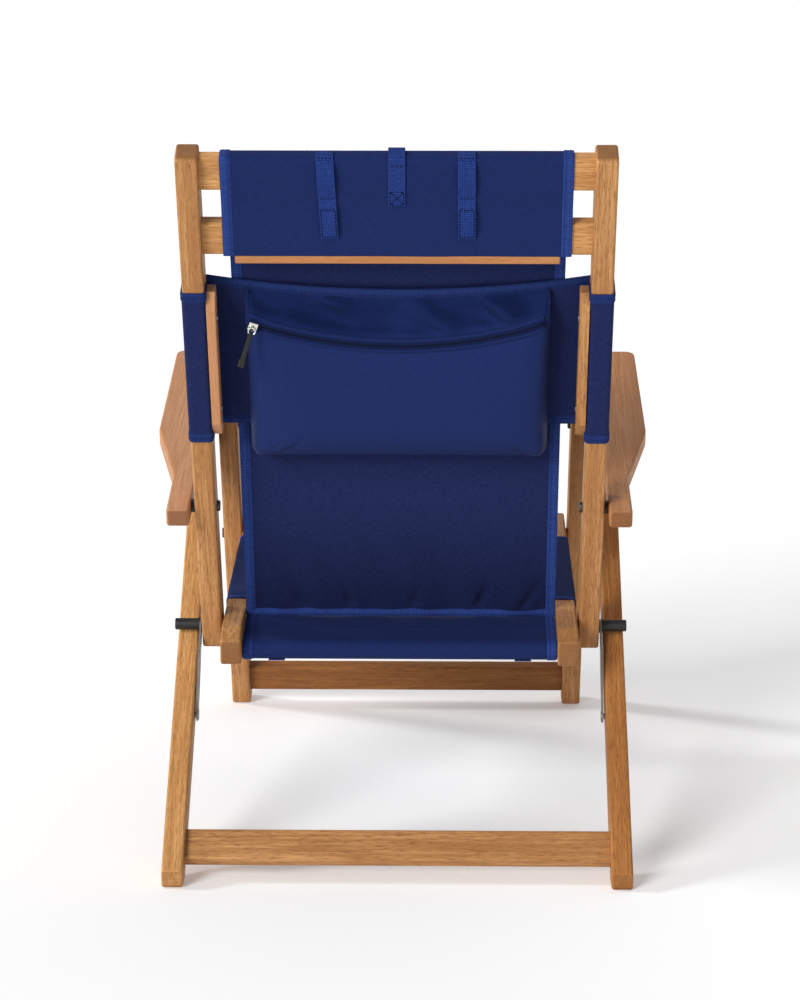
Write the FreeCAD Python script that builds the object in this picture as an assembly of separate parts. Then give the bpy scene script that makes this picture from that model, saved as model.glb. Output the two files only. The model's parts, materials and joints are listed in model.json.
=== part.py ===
import FreeCAD, Part
import math
import os

# Folding sling chair, in millimetres. X runs across the chair, Y points the way the sitter faces,
# Z is up, and the finished chair stands on Z = 0 with its box centred on the origin.
# While it is laid out, Y is counted from a line on the floor behind the chair.

# Timber: how far each layer of the frame stands from the middle of the chair
timber = 28.0              # thickness of every long member, across the chair
edge_round = 3.5           # rounding of the long timber edges
rail_inner_x = 212.0       # inner face of a seat rail
seat_gap = 3.0             # seat rail to upright and front leg
side_gap = 6.5             # upright and front leg to rear leg
running_gap = 0.3          # least room between pieces that pass each other
mortise_room = 0.1         # room round a glued tenon
press_room = 0.05          # room round a pressed pin or screw
past = 1.0                 # how far cutting shapes run past the faces they cut

# Side view: the pivots and the lean of each frame
main_pivot_y = 299.0
main_pivot_z = 272.5
pivot_spacing = 418.9      # main pivot to front leg pivot, along the seat rail
seat_tilt = 3.764          # degrees, seat rises to the front
recline = 24.0             # degrees, uprights and front legs from vertical
link_height = 203.7        # seat pivots to armrest pivots
arm_tilt = 11.0            # degrees, armrest rises to the front

# Seat frame
rail_depth = 44.0
rail_behind = 105.0        # rail end behind the main pivot
rail_slope_length = 31.0   # sloped top of the rail's rear end
rail_slope_drop = 11.0
rail_slope_round = 5.0
rail_ahead = 43.0          # rail end ahead of the front leg pivot
rail_end_round = 9.0
bar_radius = 12.0
bar_tenon_radius = 8.0
tenon_length = 14.0
rear_bar_along = -74.0
rear_bar_up = -9.0
front_bar_along = 352.0
front_bar_up = 4.0

# Back frame
upright_depth = 43.0
upright_below = 27.0
board_width = 46.0         # rails and stretchers
board_thickness = 19.0
tenon_width = 32.0
tenon_thickness = 11.0
top_rail_height = 719.0    # from the main pivot, along the upright
horn = 29.0                # upright's end above the top rail's middle
upright_above = top_rail_height + horn
rail_spacing = 93.0        # top rail to second rail
second_rail_height = top_rail_height - rail_spacing
slat_height = 11.0
slat_depth = 9.0
slat_inset = 40.0          # slat end to the upright
slat_proud = 3.0           # slat behind the rail's rear face

# Legs
leg_top_round = 17.0
front_leg_depth = 43.0
front_leg_above = 26.0     # end of the leg above its top pivot
front_stretcher_drop = 280.0
rear_leg_depth = 40.0
rear_leg_above = 22.0
sleeve_to_leg = 7.2        # stop sleeve to the rear leg's upper face
heel_height = 23.0         # upright trimmed heel of a rear foot
foot_round = 4.0
rear_stretcher_along = 735.0

# Armrests
arm_thickness = 24.0
arm_behind = 42.0          # armrest end behind its rear pivot
arm_length = 585.0
arm_inner_x = 277.0
arm_narrow = 30.5          # width at the rear
arm_wide = 64.0            # width at the hand
arm_waist = 75.0           # waist and shoulder, along from the rear pivot
arm_shoulder = 235.0
arm_curve = 95.0
arm_corner = 14.0
arm_edge_round = 5.0

# Hardware
bolt_radius = 4.0
bolt_fit = 0.08            # radial room of a turning bolt
screw_radius = 2.0
head_radius = 7.5
head_height = 4.3
washer_radius = 9.0
sleeve_radius = 8.0
sleeve_beyond = 3.5        # sleeve end past the rear leg
sleeve_flange = 10.0
flange_thickness = 1.5
sleeve_round = 1.4
plate_thickness = 2.4
strap_width = 18.0
strap_pin_along = 522.8    # strap pin from the rear leg's top pivot, along the leg
bracket_top_width = 46.0
bracket_low_width = 25.0
bracket_screw_spacing = 28.0

# Cloth
cloth = 1.4
cloth_slack = 0.1          # cloth to the timber it wraps
sling_inset = 1.5          # sling edge to the seat rail
sling_half = rail_inner_x - sling_inset
sleeve_start = 45.0        # rail sleeves, along the seat from the main pivot
sleeve_end = 331.0
seam_along = 5.0           # where the back sling meets the seat sling
seam_up = 11.6
seat_sag_up = 6.0          # seat sling at its lowest, above the rail's middle
back_sling_start = 10.0
back_sling_seam = 8.5      # back sling ahead of the upright's middle, at the seat
back_sling_middle = 29.5   # and half way up
flap_inset = 27.0          # flap edge to the upright
flap_front = 20.5          # flap's front panel at its lower edge, ahead of the upright's middle
webbing_width = 22.0
webbing_thickness = 1.5
webbing_spacing = 172.0
webbing_length = 118.0
tab_width = 20.0
tab_length = 74.0

# Lumbar band, its clamp battens and the pocket
rail_to_band = 73.0        # second rail's middle down to the band
band_width = 228.0
band_high = second_rail_height - rail_to_band
band_low = band_high - band_width
batten_low = band_low + 5.0
batten_high = band_high - 3.0
batten_thickness = 12.0
batten_depth = 28.0
batten_bevel = 11.0
batten_screw_inset = 40.0
pocket_half = 196.0
pocket_low = band_low - 44.0
pocket_high = band_high - 7.0
pocket_depth = 38.0
pocket_round = 6.0
zip_drop = 75.0            # lowest point of the zip below the pocket's upper edge
zip_height = pocket_high - zip_drop
zip_inset = 7.0           # zip end to the pocket's side
zip_sag = 34.0             # the zip hangs in an arc, its ends this much higher
zip_half = pocket_half - zip_inset
zip_width = 10.0
zip_thickness = 1.2
slider_length = 12.0
slider_height = 12.0
slider_depth = 3.6
pull_length = 46.0
pull_width = 6.0
pull_thickness = 3.6
tip_width = 8.4
tip_thickness = 4.6
tip_length = 11.0
ring_radius = 4.5
ring_wire = 0.9

# Worked-out layers across the chair
rail_outer_x = rail_inner_x + timber
middle_inner_x = rail_outer_x + seat_gap
middle_outer_x = middle_inner_x + timber
leg_inner_x = middle_outer_x + side_gap
leg_outer_x = leg_inner_x + timber
flap_half = middle_inner_x - flap_inset

# Worked-out pivots in the side view
ACROSS = FreeCAD.Vector(1, 0, 0)
ORIGIN = FreeCAD.Vector(0, 0, 0)


def turned(angle, along, up):
    """A side-view step of (along, up) in a frame turned by angle degrees about X."""
    a = math.radians(angle)
    return (along * math.cos(a) - up * math.sin(a), along * math.sin(a) + up * math.cos(a))


def stepped(point, angle, along, up):
    step = turned(angle, along, up)
    return (point[0] + step[0], point[1] + step[1])


main_pivot = (main_pivot_y, main_pivot_z)
front_pivot = stepped(main_pivot, seat_tilt, pivot_spacing, 0)
arm_pivot = stepped(main_pivot, recline, 0, link_height)
top_pivot = stepped(front_pivot, recline, 0, link_height)
reach = math.dist(main_pivot, top_pivot)
sight = math.degrees(math.atan2(top_pivot[1] - main_pivot[1], top_pivot[0] - main_pivot[0]))
leg_offset = sleeve_radius + sleeve_to_leg + rear_leg_depth / 2
leg_lean = sight + math.degrees(math.asin(leg_offset / reach))
strap_pin = stepped(top_pivot, leg_lean, -strap_pin_along, 0)


def placed(shape, angle, pivot):
    """Turn a shape drawn about the origin and set it on a side-view pivot."""
    shape.rotate(ORIGIN, ACROSS, angle)
    shape.translate(FreeCAD.Vector(0, pivot[0], pivot[1]))
    return shape


def block(x0, x1, y0, y1, z0, z1, rounding=0.0):
    shape = Part.makeBox(x1 - x0, y1 - y0, z1 - z0, FreeCAD.Vector(x0, y0, z0))
    if rounding:
        shape = shape.makeFillet(rounding, shape.Edges)
    return shape


def rod(x0, x1, y, z, radius):
    """A round piece along X."""
    return Part.makeCylinder(radius, x1 - x0, FreeCAD.Vector(x0, y, z), ACROSS)


def outline(points, radii, vector):
    """A closed wire through 2-D points with each corner rounded to its radius."""
    edges = []
    starts = []
    count = len(points)
    for i in range(count):
        corner = vector(*points[i])
        before = vector(*points[i - 1]) - corner
        after = vector(*points[(i + 1) % count]) - corner
        radius = radii[i]
        if radius == 0:
            starts.append((corner, corner, None))
            continue
        half = before.getAngle(after) / 2
        back = radius / math.tan(half)
        first = corner + before.normalize() * back
        last = corner + after.normalize() * back
        bisector = (before + after).normalize()
        middle = corner + bisector * (radius / math.sin(half) - radius)
        starts.append((first, last, middle))
    for i in range(count):
        first, last, middle = starts[i]
        if middle is not None:
            edges.append(Part.Arc(first, middle, last).toShape())
        following = starts[(i + 1) % count][0]
        if (following - last).Length > 1e-6:
            edges.append(Part.makeLine(last, following))
    return Part.Wire(edges)


def side_plate(points, radii, x0, x1, rounding=0.0):
    """A piece cut to a side-view outline (y, z) and x0 to x1 thick, its face edges rounded."""
    wire = outline(points, radii, lambda y, z: FreeCAD.Vector(x0, y, z))
    shape = Part.Face(wire).extrude(FreeCAD.Vector(x1 - x0, 0, 0))
    if rounding:
        shape = shape.makeFillet(rounding, face_edges(shape, "x", x0, x1))
    return shape


def face_edges(shape, axis, low, high):
    """The edges that lie in the two faces square to an axis."""
    found = []
    for edge in shape.Edges:
        ends = [getattr(vertex.Point, axis) for vertex in edge.Vertexes]
        for level in (low, high):
            if all(abs(end - level) < 1e-6 for end in ends):
                found.append(edge)
    return found


def stadium(length_low, length_high, half_width, x0, x1):
    """A flat bar along Z with round ends centred on the two lengths."""
    low = length_low - half_width
    high = length_high + half_width
    corner = half_width * 0.999
    points = [(-half_width, low), (half_width, low), (half_width, high), (-half_width, high)]
    return side_plate(points, [corner] * 4, x0, x1)


def pair(shape):
    """The piece and its mirror image on the other side of the chair."""
    return {"right": shape, "left": shape.mirror(ORIGIN, ACROSS)}


def both(shape):
    """The two mirrored solids of one group."""
    return Part.makeCompound([shape, shape.mirror(ORIGIN, ACROSS)])


def cross_board(half_span, along, up):
    """A rail between two members, its wide face along Z, with a tenon into each of them."""
    board = block(-half_span, half_span, along - board_thickness / 2, along + board_thickness / 2,
                  up - board_width / 2, up + board_width / 2)
    long_edges = [edge for edge in board.Edges if abs(edge.BoundBox.XLength - 2 * half_span) < 1e-6]
    return board.makeFillet(edge_round, long_edges).fuse(tenons(half_span, along, up, 0.0)).removeSplitter()


def tenons(half_span, along, up, room):
    half = half_span + tenon_length + room
    return block(-half, half, along - tenon_thickness / 2 - room, along + tenon_thickness / 2 + room,
                 up - tenon_width / 2 - room, up + tenon_width / 2 + room)


def bolt(x_head, x_end, y, z):
    """A bolt along X with its round head inside x_head."""
    head = rod(x_head - head_height, x_head, y, z, head_radius)
    rim = [edge for edge in head.Edges if abs(edge.BoundBox.XMin - x_head + head_height) < 1e-6
           and edge.BoundBox.XLength < 1e-6]
    return head.makeFillet(head_height / 2, rim).fuse(rod(x_head, x_end, y, z, bolt_radius)).removeSplitter()


def nut(x0, x1, y, z):
    return rod(x0, x1, y, z, head_radius)


def washer(x0, x1, y, z, radius):
    return rod(x0, x1, y, z, radius).cut(rod(x0, x1, y, z, bolt_radius + bolt_fit))


def hole(x0, x1, y, z, radius=bolt_radius + bolt_fit):
    return rod(x0, x1, y, z, radius)


parts = {}


def keep(name, shape):
    parts[name] = shape


def keep_sides(name, shape):
    for side, solid in pair(shape).items():
        keep(name + "_" + side, solid)


# Seat frame: two rails and two round bars, drawn along the rail from the main pivot
rail_half = rail_depth / 2
rail_tip = pivot_spacing + rail_ahead
rail = side_plate([(-rail_behind, -rail_half), (rail_tip, -rail_half), (rail_tip, rail_half),
                   (-rail_behind + rail_slope_length, rail_half), (-rail_behind, rail_half - rail_slope_drop)],
                  [rail_slope_round, rail_end_round, rail_end_round, rail_slope_round, rail_slope_round],
                  rail_inner_x, rail_outer_x, edge_round)
bars = ((rear_bar_along, rear_bar_up, "seat_rear_bar"), (front_bar_along, front_bar_up, "seat_front_bar"))
for along, up, name in bars:
    socket = rail_inner_x + tenon_length + mortise_room
    rail = rail.cut(rod(rail_inner_x - past, socket, along, up, bar_tenon_radius + press_room))
    bar = rod(-rail_inner_x, rail_inner_x, along, up, bar_radius)
    tenon = rod(-rail_inner_x - tenon_length, rail_inner_x + tenon_length, along, up, bar_tenon_radius)
    keep(name, placed(bar.fuse(tenon).removeSplitter(), seat_tilt, main_pivot))
for along in (0.0, pivot_spacing):
    rail = rail.cut(hole(rail_inner_x - past, rail_outer_x + past, along, 0))
keep_sides("seat_rail", placed(rail, seat_tilt, main_pivot))

# Seat sling: sleeves round both rails, a panel that sags between them and a loop round each bar
loop_inner = bar_radius + cloth_slack
loop_outer = loop_inner + cloth
panel_half = rail_inner_x - cloth_slack - cloth / 2
rear_top = rear_bar_up + loop_outer
front_top = front_bar_up + loop_outer


def panel_edge(drop):
    """The panel's side line: a slope from the rear bar up to the seam, then one sagging arc."""
    start = FreeCAD.Vector(0, rear_bar_along, rear_top - drop)
    seam = FreeCAD.Vector(0, seam_along, seam_up - drop)
    low = FreeCAD.Vector(0, (seam_along + front_bar_along) / 2, seat_sag_up - drop)
    end = FreeCAD.Vector(0, front_bar_along, front_top - drop)
    return [Part.makeLine(start, seam), Part.Arc(seam, low, end).toShape()]


def panel(half_width):
    upper = panel_edge(0)
    lower = panel_edge(cloth)
    rear_close = Part.makeLine(upper[0].Vertexes[0].Point, lower[0].Vertexes[0].Point)
    front_close = Part.makeLine(upper[1].Vertexes[-1].Point, lower[1].Vertexes[-1].Point)
    face = Part.Face(Part.Wire(Part.__sortEdges__(upper + lower + [rear_close, front_close])))
    shape = face.extrude(FreeCAD.Vector(2 * half_width, 0, 0))
    shape.translate(FreeCAD.Vector(-half_width, 0, 0))
    return shape


sleeve_room = block(-panel_half, panel_half, sleeve_start, sleeve_end, -rail_depth, rail_depth)
sling = panel(sling_half).fuse(panel(panel_half).common(sleeve_room))
for along, up, name in bars:
    loop = rod(-sling_half, sling_half, along, up, loop_outer)
    sling = sling.fuse(loop)
for along, up, name in bars:
    sling = sling.cut(rod(-rail_inner_x, rail_inner_x, along, up, loop_inner))
wrap = cloth_slack + cloth
sleeve = block(rail_inner_x - wrap, rail_outer_x + wrap, sleeve_start, sleeve_end,
               -rail_half - wrap, rail_half + wrap)
sleeve = sleeve.cut(block(rail_inner_x - cloth_slack, rail_outer_x + cloth_slack, sleeve_start - past,
                          sleeve_end + past, -rail_half - cloth_slack, rail_half + cloth_slack))
sling = sling.fuse([sleeve, sleeve.mirror(ORIGIN, ACROSS)]).removeSplitter()
keep("seat_sling", placed(sling, seat_tilt, main_pivot))

# Main pivot: a long bolt through rail, upright and strap, and the stop sleeve on its outer end
main_y, main_z = main_pivot
flange_outer = leg_inner_x - 2 * running_gap
flange_inner = flange_outer - flange_thickness
sleeve_tip = leg_outer_x + sleeve_beyond
keep("main_bolts", both(bolt(rail_inner_x, leg_outer_x, main_y, main_z)))
stop = rod(flange_inner, flange_outer, main_y, main_z, sleeve_flange)
stop = stop.fuse(rod(flange_outer, sleeve_tip, main_y, main_z, sleeve_radius)).removeSplitter()
tip_rim = [edge for edge in stop.Edges if abs(edge.BoundBox.XMin - sleeve_tip) < 1e-6]
stop = stop.makeFillet(sleeve_round, tip_rim)
keep("stop_sleeves", both(stop.cut(hole(flange_inner - past, leg_outer_x, main_y, main_z,
                                        bolt_radius + press_room))))
keep("seat_washers", both(washer(rail_outer_x + running_gap, middle_inner_x - running_gap,
                                 main_y, main_z, washer_radius)))

# Link straps: flat steel bars from the main bolt down to the inside of the rear legs
strap_outer = flange_inner - running_gap
strap_inner = strap_outer - plate_thickness
strap_length = math.dist(main_pivot, strap_pin)
strap_swing = math.degrees(math.atan2(main_pivot[0] - strap_pin[0], strap_pin[1] - main_pivot[1]))
strap = stadium(0, strap_length, strap_width / 2, strap_inner, strap_outer)
strap = strap.cut(hole(strap_inner - past, strap_outer + past, 0, 0))
strap = strap.cut(hole(strap_inner - past, strap_outer + past, 0, strap_length, bolt_radius + press_room))
keep_sides("link_strap", placed(strap, strap_swing, main_pivot))
rivet_room = (strap_inner - middle_outer_x) / 2
rivet = rod(strap_inner - rivet_room, strap_inner, strap_pin[0], strap_pin[1], head_radius)
rivet = rivet.fuse(rod(strap_inner, leg_inner_x - running_gap, strap_pin[0], strap_pin[1], bolt_radius))
keep_sides("strap_rivet", rivet.removeSplitter())
keep("back_washers", both(washer(middle_outer_x, strap_inner - running_gap, main_y, main_z, sleeve_flange)))

# Back frame: two uprights joined by two rails, drawn upright about the main pivot
upright_half = upright_depth / 2
upright = side_plate([(-upright_half, -upright_below), (upright_half, -upright_below),
                      (upright_half, upright_above), (-upright_half, upright_above)],
                     [rail_end_round] * 4, middle_inner_x, middle_outer_x, edge_round)
for up, name in ((top_rail_height, "top_rail"), (second_rail_height, "second_rail")):
    upright = upright.cut(tenons(middle_inner_x, 0, up, mortise_room))
    keep(name, placed(cross_board(middle_inner_x, 0, up), recline, main_pivot))
for up in (0.0, link_height):
    upright = upright.cut(hole(middle_inner_x - past, middle_outer_x + past, 0, up))

# Clamp battens: slim strips screwed inside the uprights, over the wrapped end of the band
band_inner_x = middle_inner_x - cloth
batten_inner_x = band_inner_x - batten_thickness
batten_rear = -upright_half - cloth
batten_front = batten_rear + batten_depth
batten = side_plate([(batten_rear + batten_bevel, batten_low), (batten_front, batten_low),
                     (batten_front, batten_high), (batten_rear + batten_bevel, batten_high),
                     (batten_rear, batten_high - batten_bevel * 2), (batten_rear, batten_low + batten_bevel * 2)],
                    [0.0] * 6, batten_inner_x, band_inner_x)
batten = batten.makeFillet(edge_round / 2, face_edges(batten, "x", batten_inner_x, batten_inner_x))

# Lumbar band: one strip of cloth, in front of the uprights, round their outsides and backs to the battens
band_front = upright_half + cloth
band_rear = -upright_half - cloth
band_outer_x = middle_outer_x + cloth
band_end = batten_front
band_points = [(-band_outer_x, band_front), (-band_outer_x, band_rear), (-band_inner_x, band_rear),
               (-band_inner_x, band_end), (-middle_inner_x, band_end), (-middle_inner_x, -upright_half),
               (-middle_outer_x, -upright_half), (-middle_outer_x, upright_half)]
band_points = band_points + [(-x, y) for x, y in reversed(band_points)]
band_wire = Part.makePolygon([FreeCAD.Vector(x, y, band_low) for x, y in band_points + band_points[:1]])
band = Part.Face(band_wire).extrude(FreeCAD.Vector(0, 0, band_high - band_low))

batten_middle = (batten_rear + batten_front) / 2
screw_tip = middle_inner_x + timber / 2
screws = []
for up in (batten_low + batten_screw_inset, batten_high - batten_screw_inset):
    bore = rod(batten_inner_x - past, screw_tip + past, batten_middle, up, screw_radius + press_room)
    batten = batten.cut(bore)
    upright = upright.cut(bore)
    band = band.cut([bore, bore.mirror(ORIGIN, ACROSS)])
    screw = rod(batten_inner_x, screw_tip, batten_middle, up, screw_radius)
    head = rod(batten_inner_x - webbing_thickness, batten_inner_x, batten_middle, up, 2 * screw_radius)
    screws.append(placed(screw.fuse(head).removeSplitter(), recline, main_pivot))
screws = screws + [screw.mirror(ORIGIN, ACROSS) for screw in screws]
keep("batten_screws", Part.makeCompound(screws))
keep_sides("clamp_batten", placed(batten, recline, main_pivot))
keep("lumbar_band", placed(band, recline, main_pivot))
keep_sides("back_upright", placed(upright, recline, main_pivot))

# Retaining slat under the second rail, just below the head flap
slat_top = second_rail_height - board_width / 2
slat_half = middle_inner_x - slat_inset
slat_rear = -board_thickness / 2 - slat_proud
slat = block(-slat_half, slat_half, slat_rear, slat_rear + slat_depth, slat_top - slat_height, slat_top,
             edge_round / 2)
keep("retaining_slat", placed(slat, recline, main_pivot))

# Head flap: cloth folded over the top rail, behind and in front of both rails
flap_rear = -board_thickness / 2 - cloth_slack
flap_top = top_rail_height + board_width / 2 + cloth_slack
flap_low = slat_top
flap_bend = edge_round
flap_outer = outline([(flap_rear - cloth, flap_low), (flap_rear - cloth, flap_top + cloth),
                      (-flap_rear + cloth, flap_top + cloth), (flap_front + cloth, flap_low),
                      (flap_front, flap_low), (-flap_rear, flap_top), (flap_rear, flap_top),
                      (flap_rear, flap_low)],
                     [0, flap_bend + cloth, flap_bend + cloth, 0, 0, flap_bend, flap_bend, 0],
                     lambda y, z: FreeCAD.Vector(-flap_half, y, z))
flap = Part.Face(flap_outer).extrude(FreeCAD.Vector(2 * flap_half, 0, 0))
keep("head_flap", placed(flap, recline, main_pivot))

# Back sling: hangs from the flap's front panel, lies over the band and ends just above the seat seam
sling_top = flap_low
sling_middle = (band_low + band_high) / 2


def sling_line(shift):
    high = FreeCAD.Vector(-sling_half, flap_front + shift, sling_top)
    middle = FreeCAD.Vector(-sling_half, back_sling_middle + shift, sling_middle)
    low = FreeCAD.Vector(-sling_half, back_sling_seam + shift, back_sling_start)
    return Part.Arc(high, middle, low).toShape()


rear_line = sling_line(0)
front_line = sling_line(cloth)
sling_ends = [Part.makeLine(rear_line.Vertexes[i].Point, front_line.Vertexes[i].Point) for i in (0, 1)]
back = Part.Face(Part.Wire(Part.__sortEdges__([rear_line, front_line] + sling_ends)))
keep("back_sling", placed(back.extrude(FreeCAD.Vector(2 * sling_half, 0, 0)), recline, main_pivot))

# Webbing on the flap: two long strips and a short middle tab that comes over the top
webbing_front = flap_rear - cloth
webbing_top = flap_top - flap_bend
strip = block(webbing_spacing / 2 - webbing_width / 2, webbing_spacing / 2 + webbing_width / 2,
              webbing_front - webbing_thickness, webbing_front, webbing_top - webbing_length, webbing_top)
keep("webbing_strips", both(placed(strip, recline, main_pivot)))
tab = block(-tab_width / 2, tab_width / 2, webbing_front - webbing_thickness, webbing_front,
            webbing_top - tab_length, webbing_top)
keep("webbing_tab", placed(tab, recline, main_pivot))

# Pocket: a closed zipped bag on the back of the band
pocket_front = upright_half
pocket_rear = pocket_front - pocket_depth
pocket = block(-pocket_half, pocket_half, pocket_rear, pocket_front, pocket_low, pocket_high, pocket_round)
keep("pocket_bag", placed(pocket, recline, main_pivot))
zip_rear = pocket_rear - zip_thickness
zip_radius = (zip_half ** 2 + zip_sag ** 2) / (2 * zip_sag)
zip_centre = FreeCAD.Vector(0, 0, zip_height + zip_radius)
zip_swing = math.degrees(math.asin(zip_half / zip_radius))
AHEAD = FreeCAD.Vector(0, 1, 0)


def zip_ring(radius, y0, y1):
    """A sector of a disc about the zip's centre, as wide as the zip."""
    start = zip_centre + FreeCAD.Vector(0, y0, 0)
    disc = Part.makeCylinder(radius, y1 - y0, start, AHEAD, 2 * zip_swing)
    disc.rotate(start, AHEAD, 180.0 - zip_swing)
    return disc


tape = zip_ring(zip_radius + zip_width / 2, zip_rear, pocket_rear)
tape = tape.cut(zip_ring(zip_radius - zip_width / 2, zip_rear - past, pocket_rear + past))
keep("zipper_tape", placed(tape, recline, main_pivot))

# Zip slider with a wire ring and a moulded pull that hangs from it: drawn at the middle of the zip,
# then run along the arc to its left end
slider_front = zip_rear - running_gap
slider_rear = slider_front - slider_depth
slider = block(-slider_length / 2, slider_length / 2, slider_rear, slider_front,
               -slider_height / 2, slider_height / 2, slider_depth / 4)
eye_radius = ring_wire + running_gap
ring_ahead = slider_rear - eye_radius
eye = rod(-ring_wire, ring_wire, ring_ahead, 0, eye_radius + ring_wire)
eye = eye.cut(block(-past - ring_wire, past + ring_wire, slider_rear, slider_front, -slider_height, slider_height))
slider = slider.fuse(eye).removeSplitter().cut(rod(-past - ring_wire, past + ring_wire, ring_ahead, 0, eye_radius))
slider.translate(FreeCAD.Vector(0, 0, zip_height))
slider_swing = zip_swing - math.degrees(slider_length / 2 / zip_radius)
zip_middle = FreeCAD.Vector(0, *stepped(main_pivot, recline, zip_rear, zip_centre.z))
zip_axis = FreeCAD.Vector(0, math.cos(math.radians(recline)), math.sin(math.radians(recline)))


def run_left(shape):
    shape.rotate(zip_middle, zip_axis, slider_swing)
    return shape


keep("zip_slider", run_left(placed(slider, recline, main_pivot)))
pull_hinge = FreeCAD.Vector(0, *stepped(main_pivot, recline, ring_ahead, zip_height))
ring_middle = pull_hinge - FreeCAD.Vector(0, 0, ring_radius)
keep("pull_ring", run_left(Part.makeTorus(ring_radius, ring_wire, ring_middle, AHEAD)))
pull_top = pull_hinge.z - 2 * ring_radius + 2 * ring_wire


def pull_piece(width, thickness, low, high):
    return block(-width / 2, width / 2, pull_hinge.y - thickness / 2, pull_hinge.y + thickness / 2,
                 low, high, thickness / 3)


pull = pull_piece(pull_width, pull_thickness, pull_top - pull_length, pull_top)
pull = pull.fuse(pull_piece(tip_width, tip_thickness, pull_top - pull_length, pull_top - pull_length + tip_length))
keep("zip_pull", run_left(pull.cut(Part.makeTorus(ring_radius, ring_wire + press_room, ring_middle, AHEAD))))

# Front legs: drawn upright about the front pivot, each foot cut level with the floor
leg_half = front_leg_depth / 2
lean = math.radians(recline)


def floor_drop(ahead):
    """How far below the front pivot the floor lies, along the leg."""
    return -(front_pivot[1] + ahead * math.sin(lean)) / math.cos(lean)


leg_tip = link_height + front_leg_above
front_leg = side_plate([(-leg_half, floor_drop(-leg_half)), (leg_half, floor_drop(leg_half)),
                        (leg_half, leg_tip), (-leg_half, leg_tip)],
                       [foot_round, foot_round, leg_top_round, leg_top_round],
                       middle_inner_x, middle_outer_x, edge_round)
front_leg = front_leg.cut(tenons(middle_inner_x, 0, -front_stretcher_drop, mortise_room))
for up in (0.0, link_height):
    front_leg = front_leg.cut(hole(middle_inner_x - past, middle_outer_x + past, 0, up))
keep_sides("front_leg", placed(front_leg, recline, front_pivot))
keep("front_stretcher", placed(cross_board(middle_inner_x, 0, -front_stretcher_drop), recline, front_pivot))
front_y, front_z = front_pivot
front_nut = middle_outer_x + (side_gap - running_gap) * 0.6
front_bolt = bolt(rail_inner_x - running_gap, front_nut, front_y, front_z)
keep("front_bolts", both(front_bolt.fuse(nut(middle_outer_x, front_nut, front_y, front_z)).removeSplitter()))
keep("front_washers", both(washer(rail_outer_x + running_gap, middle_inner_x, front_y, front_z, washer_radius)))

# Top pivot: one bolt through front leg, armrest bracket and rear leg
top_y, top_z = top_pivot
bracket_outer = arm_inner_x
bracket_inner = bracket_outer - plate_thickness
top_nut = leg_outer_x + running_gap
top_bolt = bolt(middle_inner_x, top_nut + head_height, top_y, top_z)
keep("top_bolts", both(top_bolt.fuse(nut(top_nut, top_nut + head_height, top_y, top_z)).removeSplitter()))
keep("top_washers", both(washer(middle_outer_x, bracket_inner - running_gap, top_y, top_z, washer_radius)))

# Rear legs: along the lean from the top pivot down to a trimmed heel on the floor
slope = math.radians(leg_lean)
rear_half = rear_leg_depth / 2


def on_leg(side, height):
    """Where the upper (1) or lower (-1) face of the rear leg is at a height above the floor."""
    start = stepped(top_pivot, leg_lean, 0, side * rear_half)
    return (start[0] + (height - start[1]) / math.tan(slope), height)


heel = on_leg(1, heel_height)
toe = on_leg(-1, 0.0)
rear_leg = side_plate([heel, (heel[0], 0.0), toe,
                       stepped(top_pivot, leg_lean, rear_leg_above, -rear_half),
                       stepped(top_pivot, leg_lean, rear_leg_above, rear_half)],
                      [foot_round, foot_round, foot_round, leg_top_round, leg_top_round],
                      leg_inner_x, leg_outer_x, edge_round)
rear_leg = rear_leg.cut(hole(leg_inner_x - past, leg_outer_x + past, top_y, top_z))
across_leg = leg_lean - 90.0
rear_leg = rear_leg.cut(placed(tenons(leg_inner_x, 0, -rear_stretcher_along, mortise_room), across_leg, top_pivot))
keep_sides("rear_leg", rear_leg)
keep("rear_stretcher", placed(cross_board(leg_inner_x, 0, -rear_stretcher_along), across_leg, top_pivot))

# Armrests: shaped boards drawn level about their rear pivot
arm_half = arm_thickness / 2
arm_tip = arm_length - arm_behind
arm_slim_x = arm_inner_x + arm_narrow
arm_full_x = arm_inner_x + arm_wide
arm_wire = outline([(arm_inner_x, -arm_behind), (arm_slim_x, -arm_behind), (arm_slim_x, arm_waist),
                    (arm_full_x, arm_shoulder), (arm_full_x, arm_tip), (arm_inner_x, arm_tip)],
                   [arm_edge_round, arm_edge_round, arm_curve, arm_curve, arm_corner, arm_edge_round],
                   lambda x, y: FreeCAD.Vector(x, y, -arm_half))
arm = Part.Face(arm_wire).extrude(FreeCAD.Vector(0, 0, arm_thickness))
arm = arm.makeFillet(edge_round, face_edges(arm, "z", -arm_half, arm_half))
arm_bolt_tip = arm_slim_x - arm_narrow / 4
arm = arm.cut(rod(arm_inner_x - past, arm_bolt_tip, 0, 0, bolt_radius + press_room))

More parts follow.
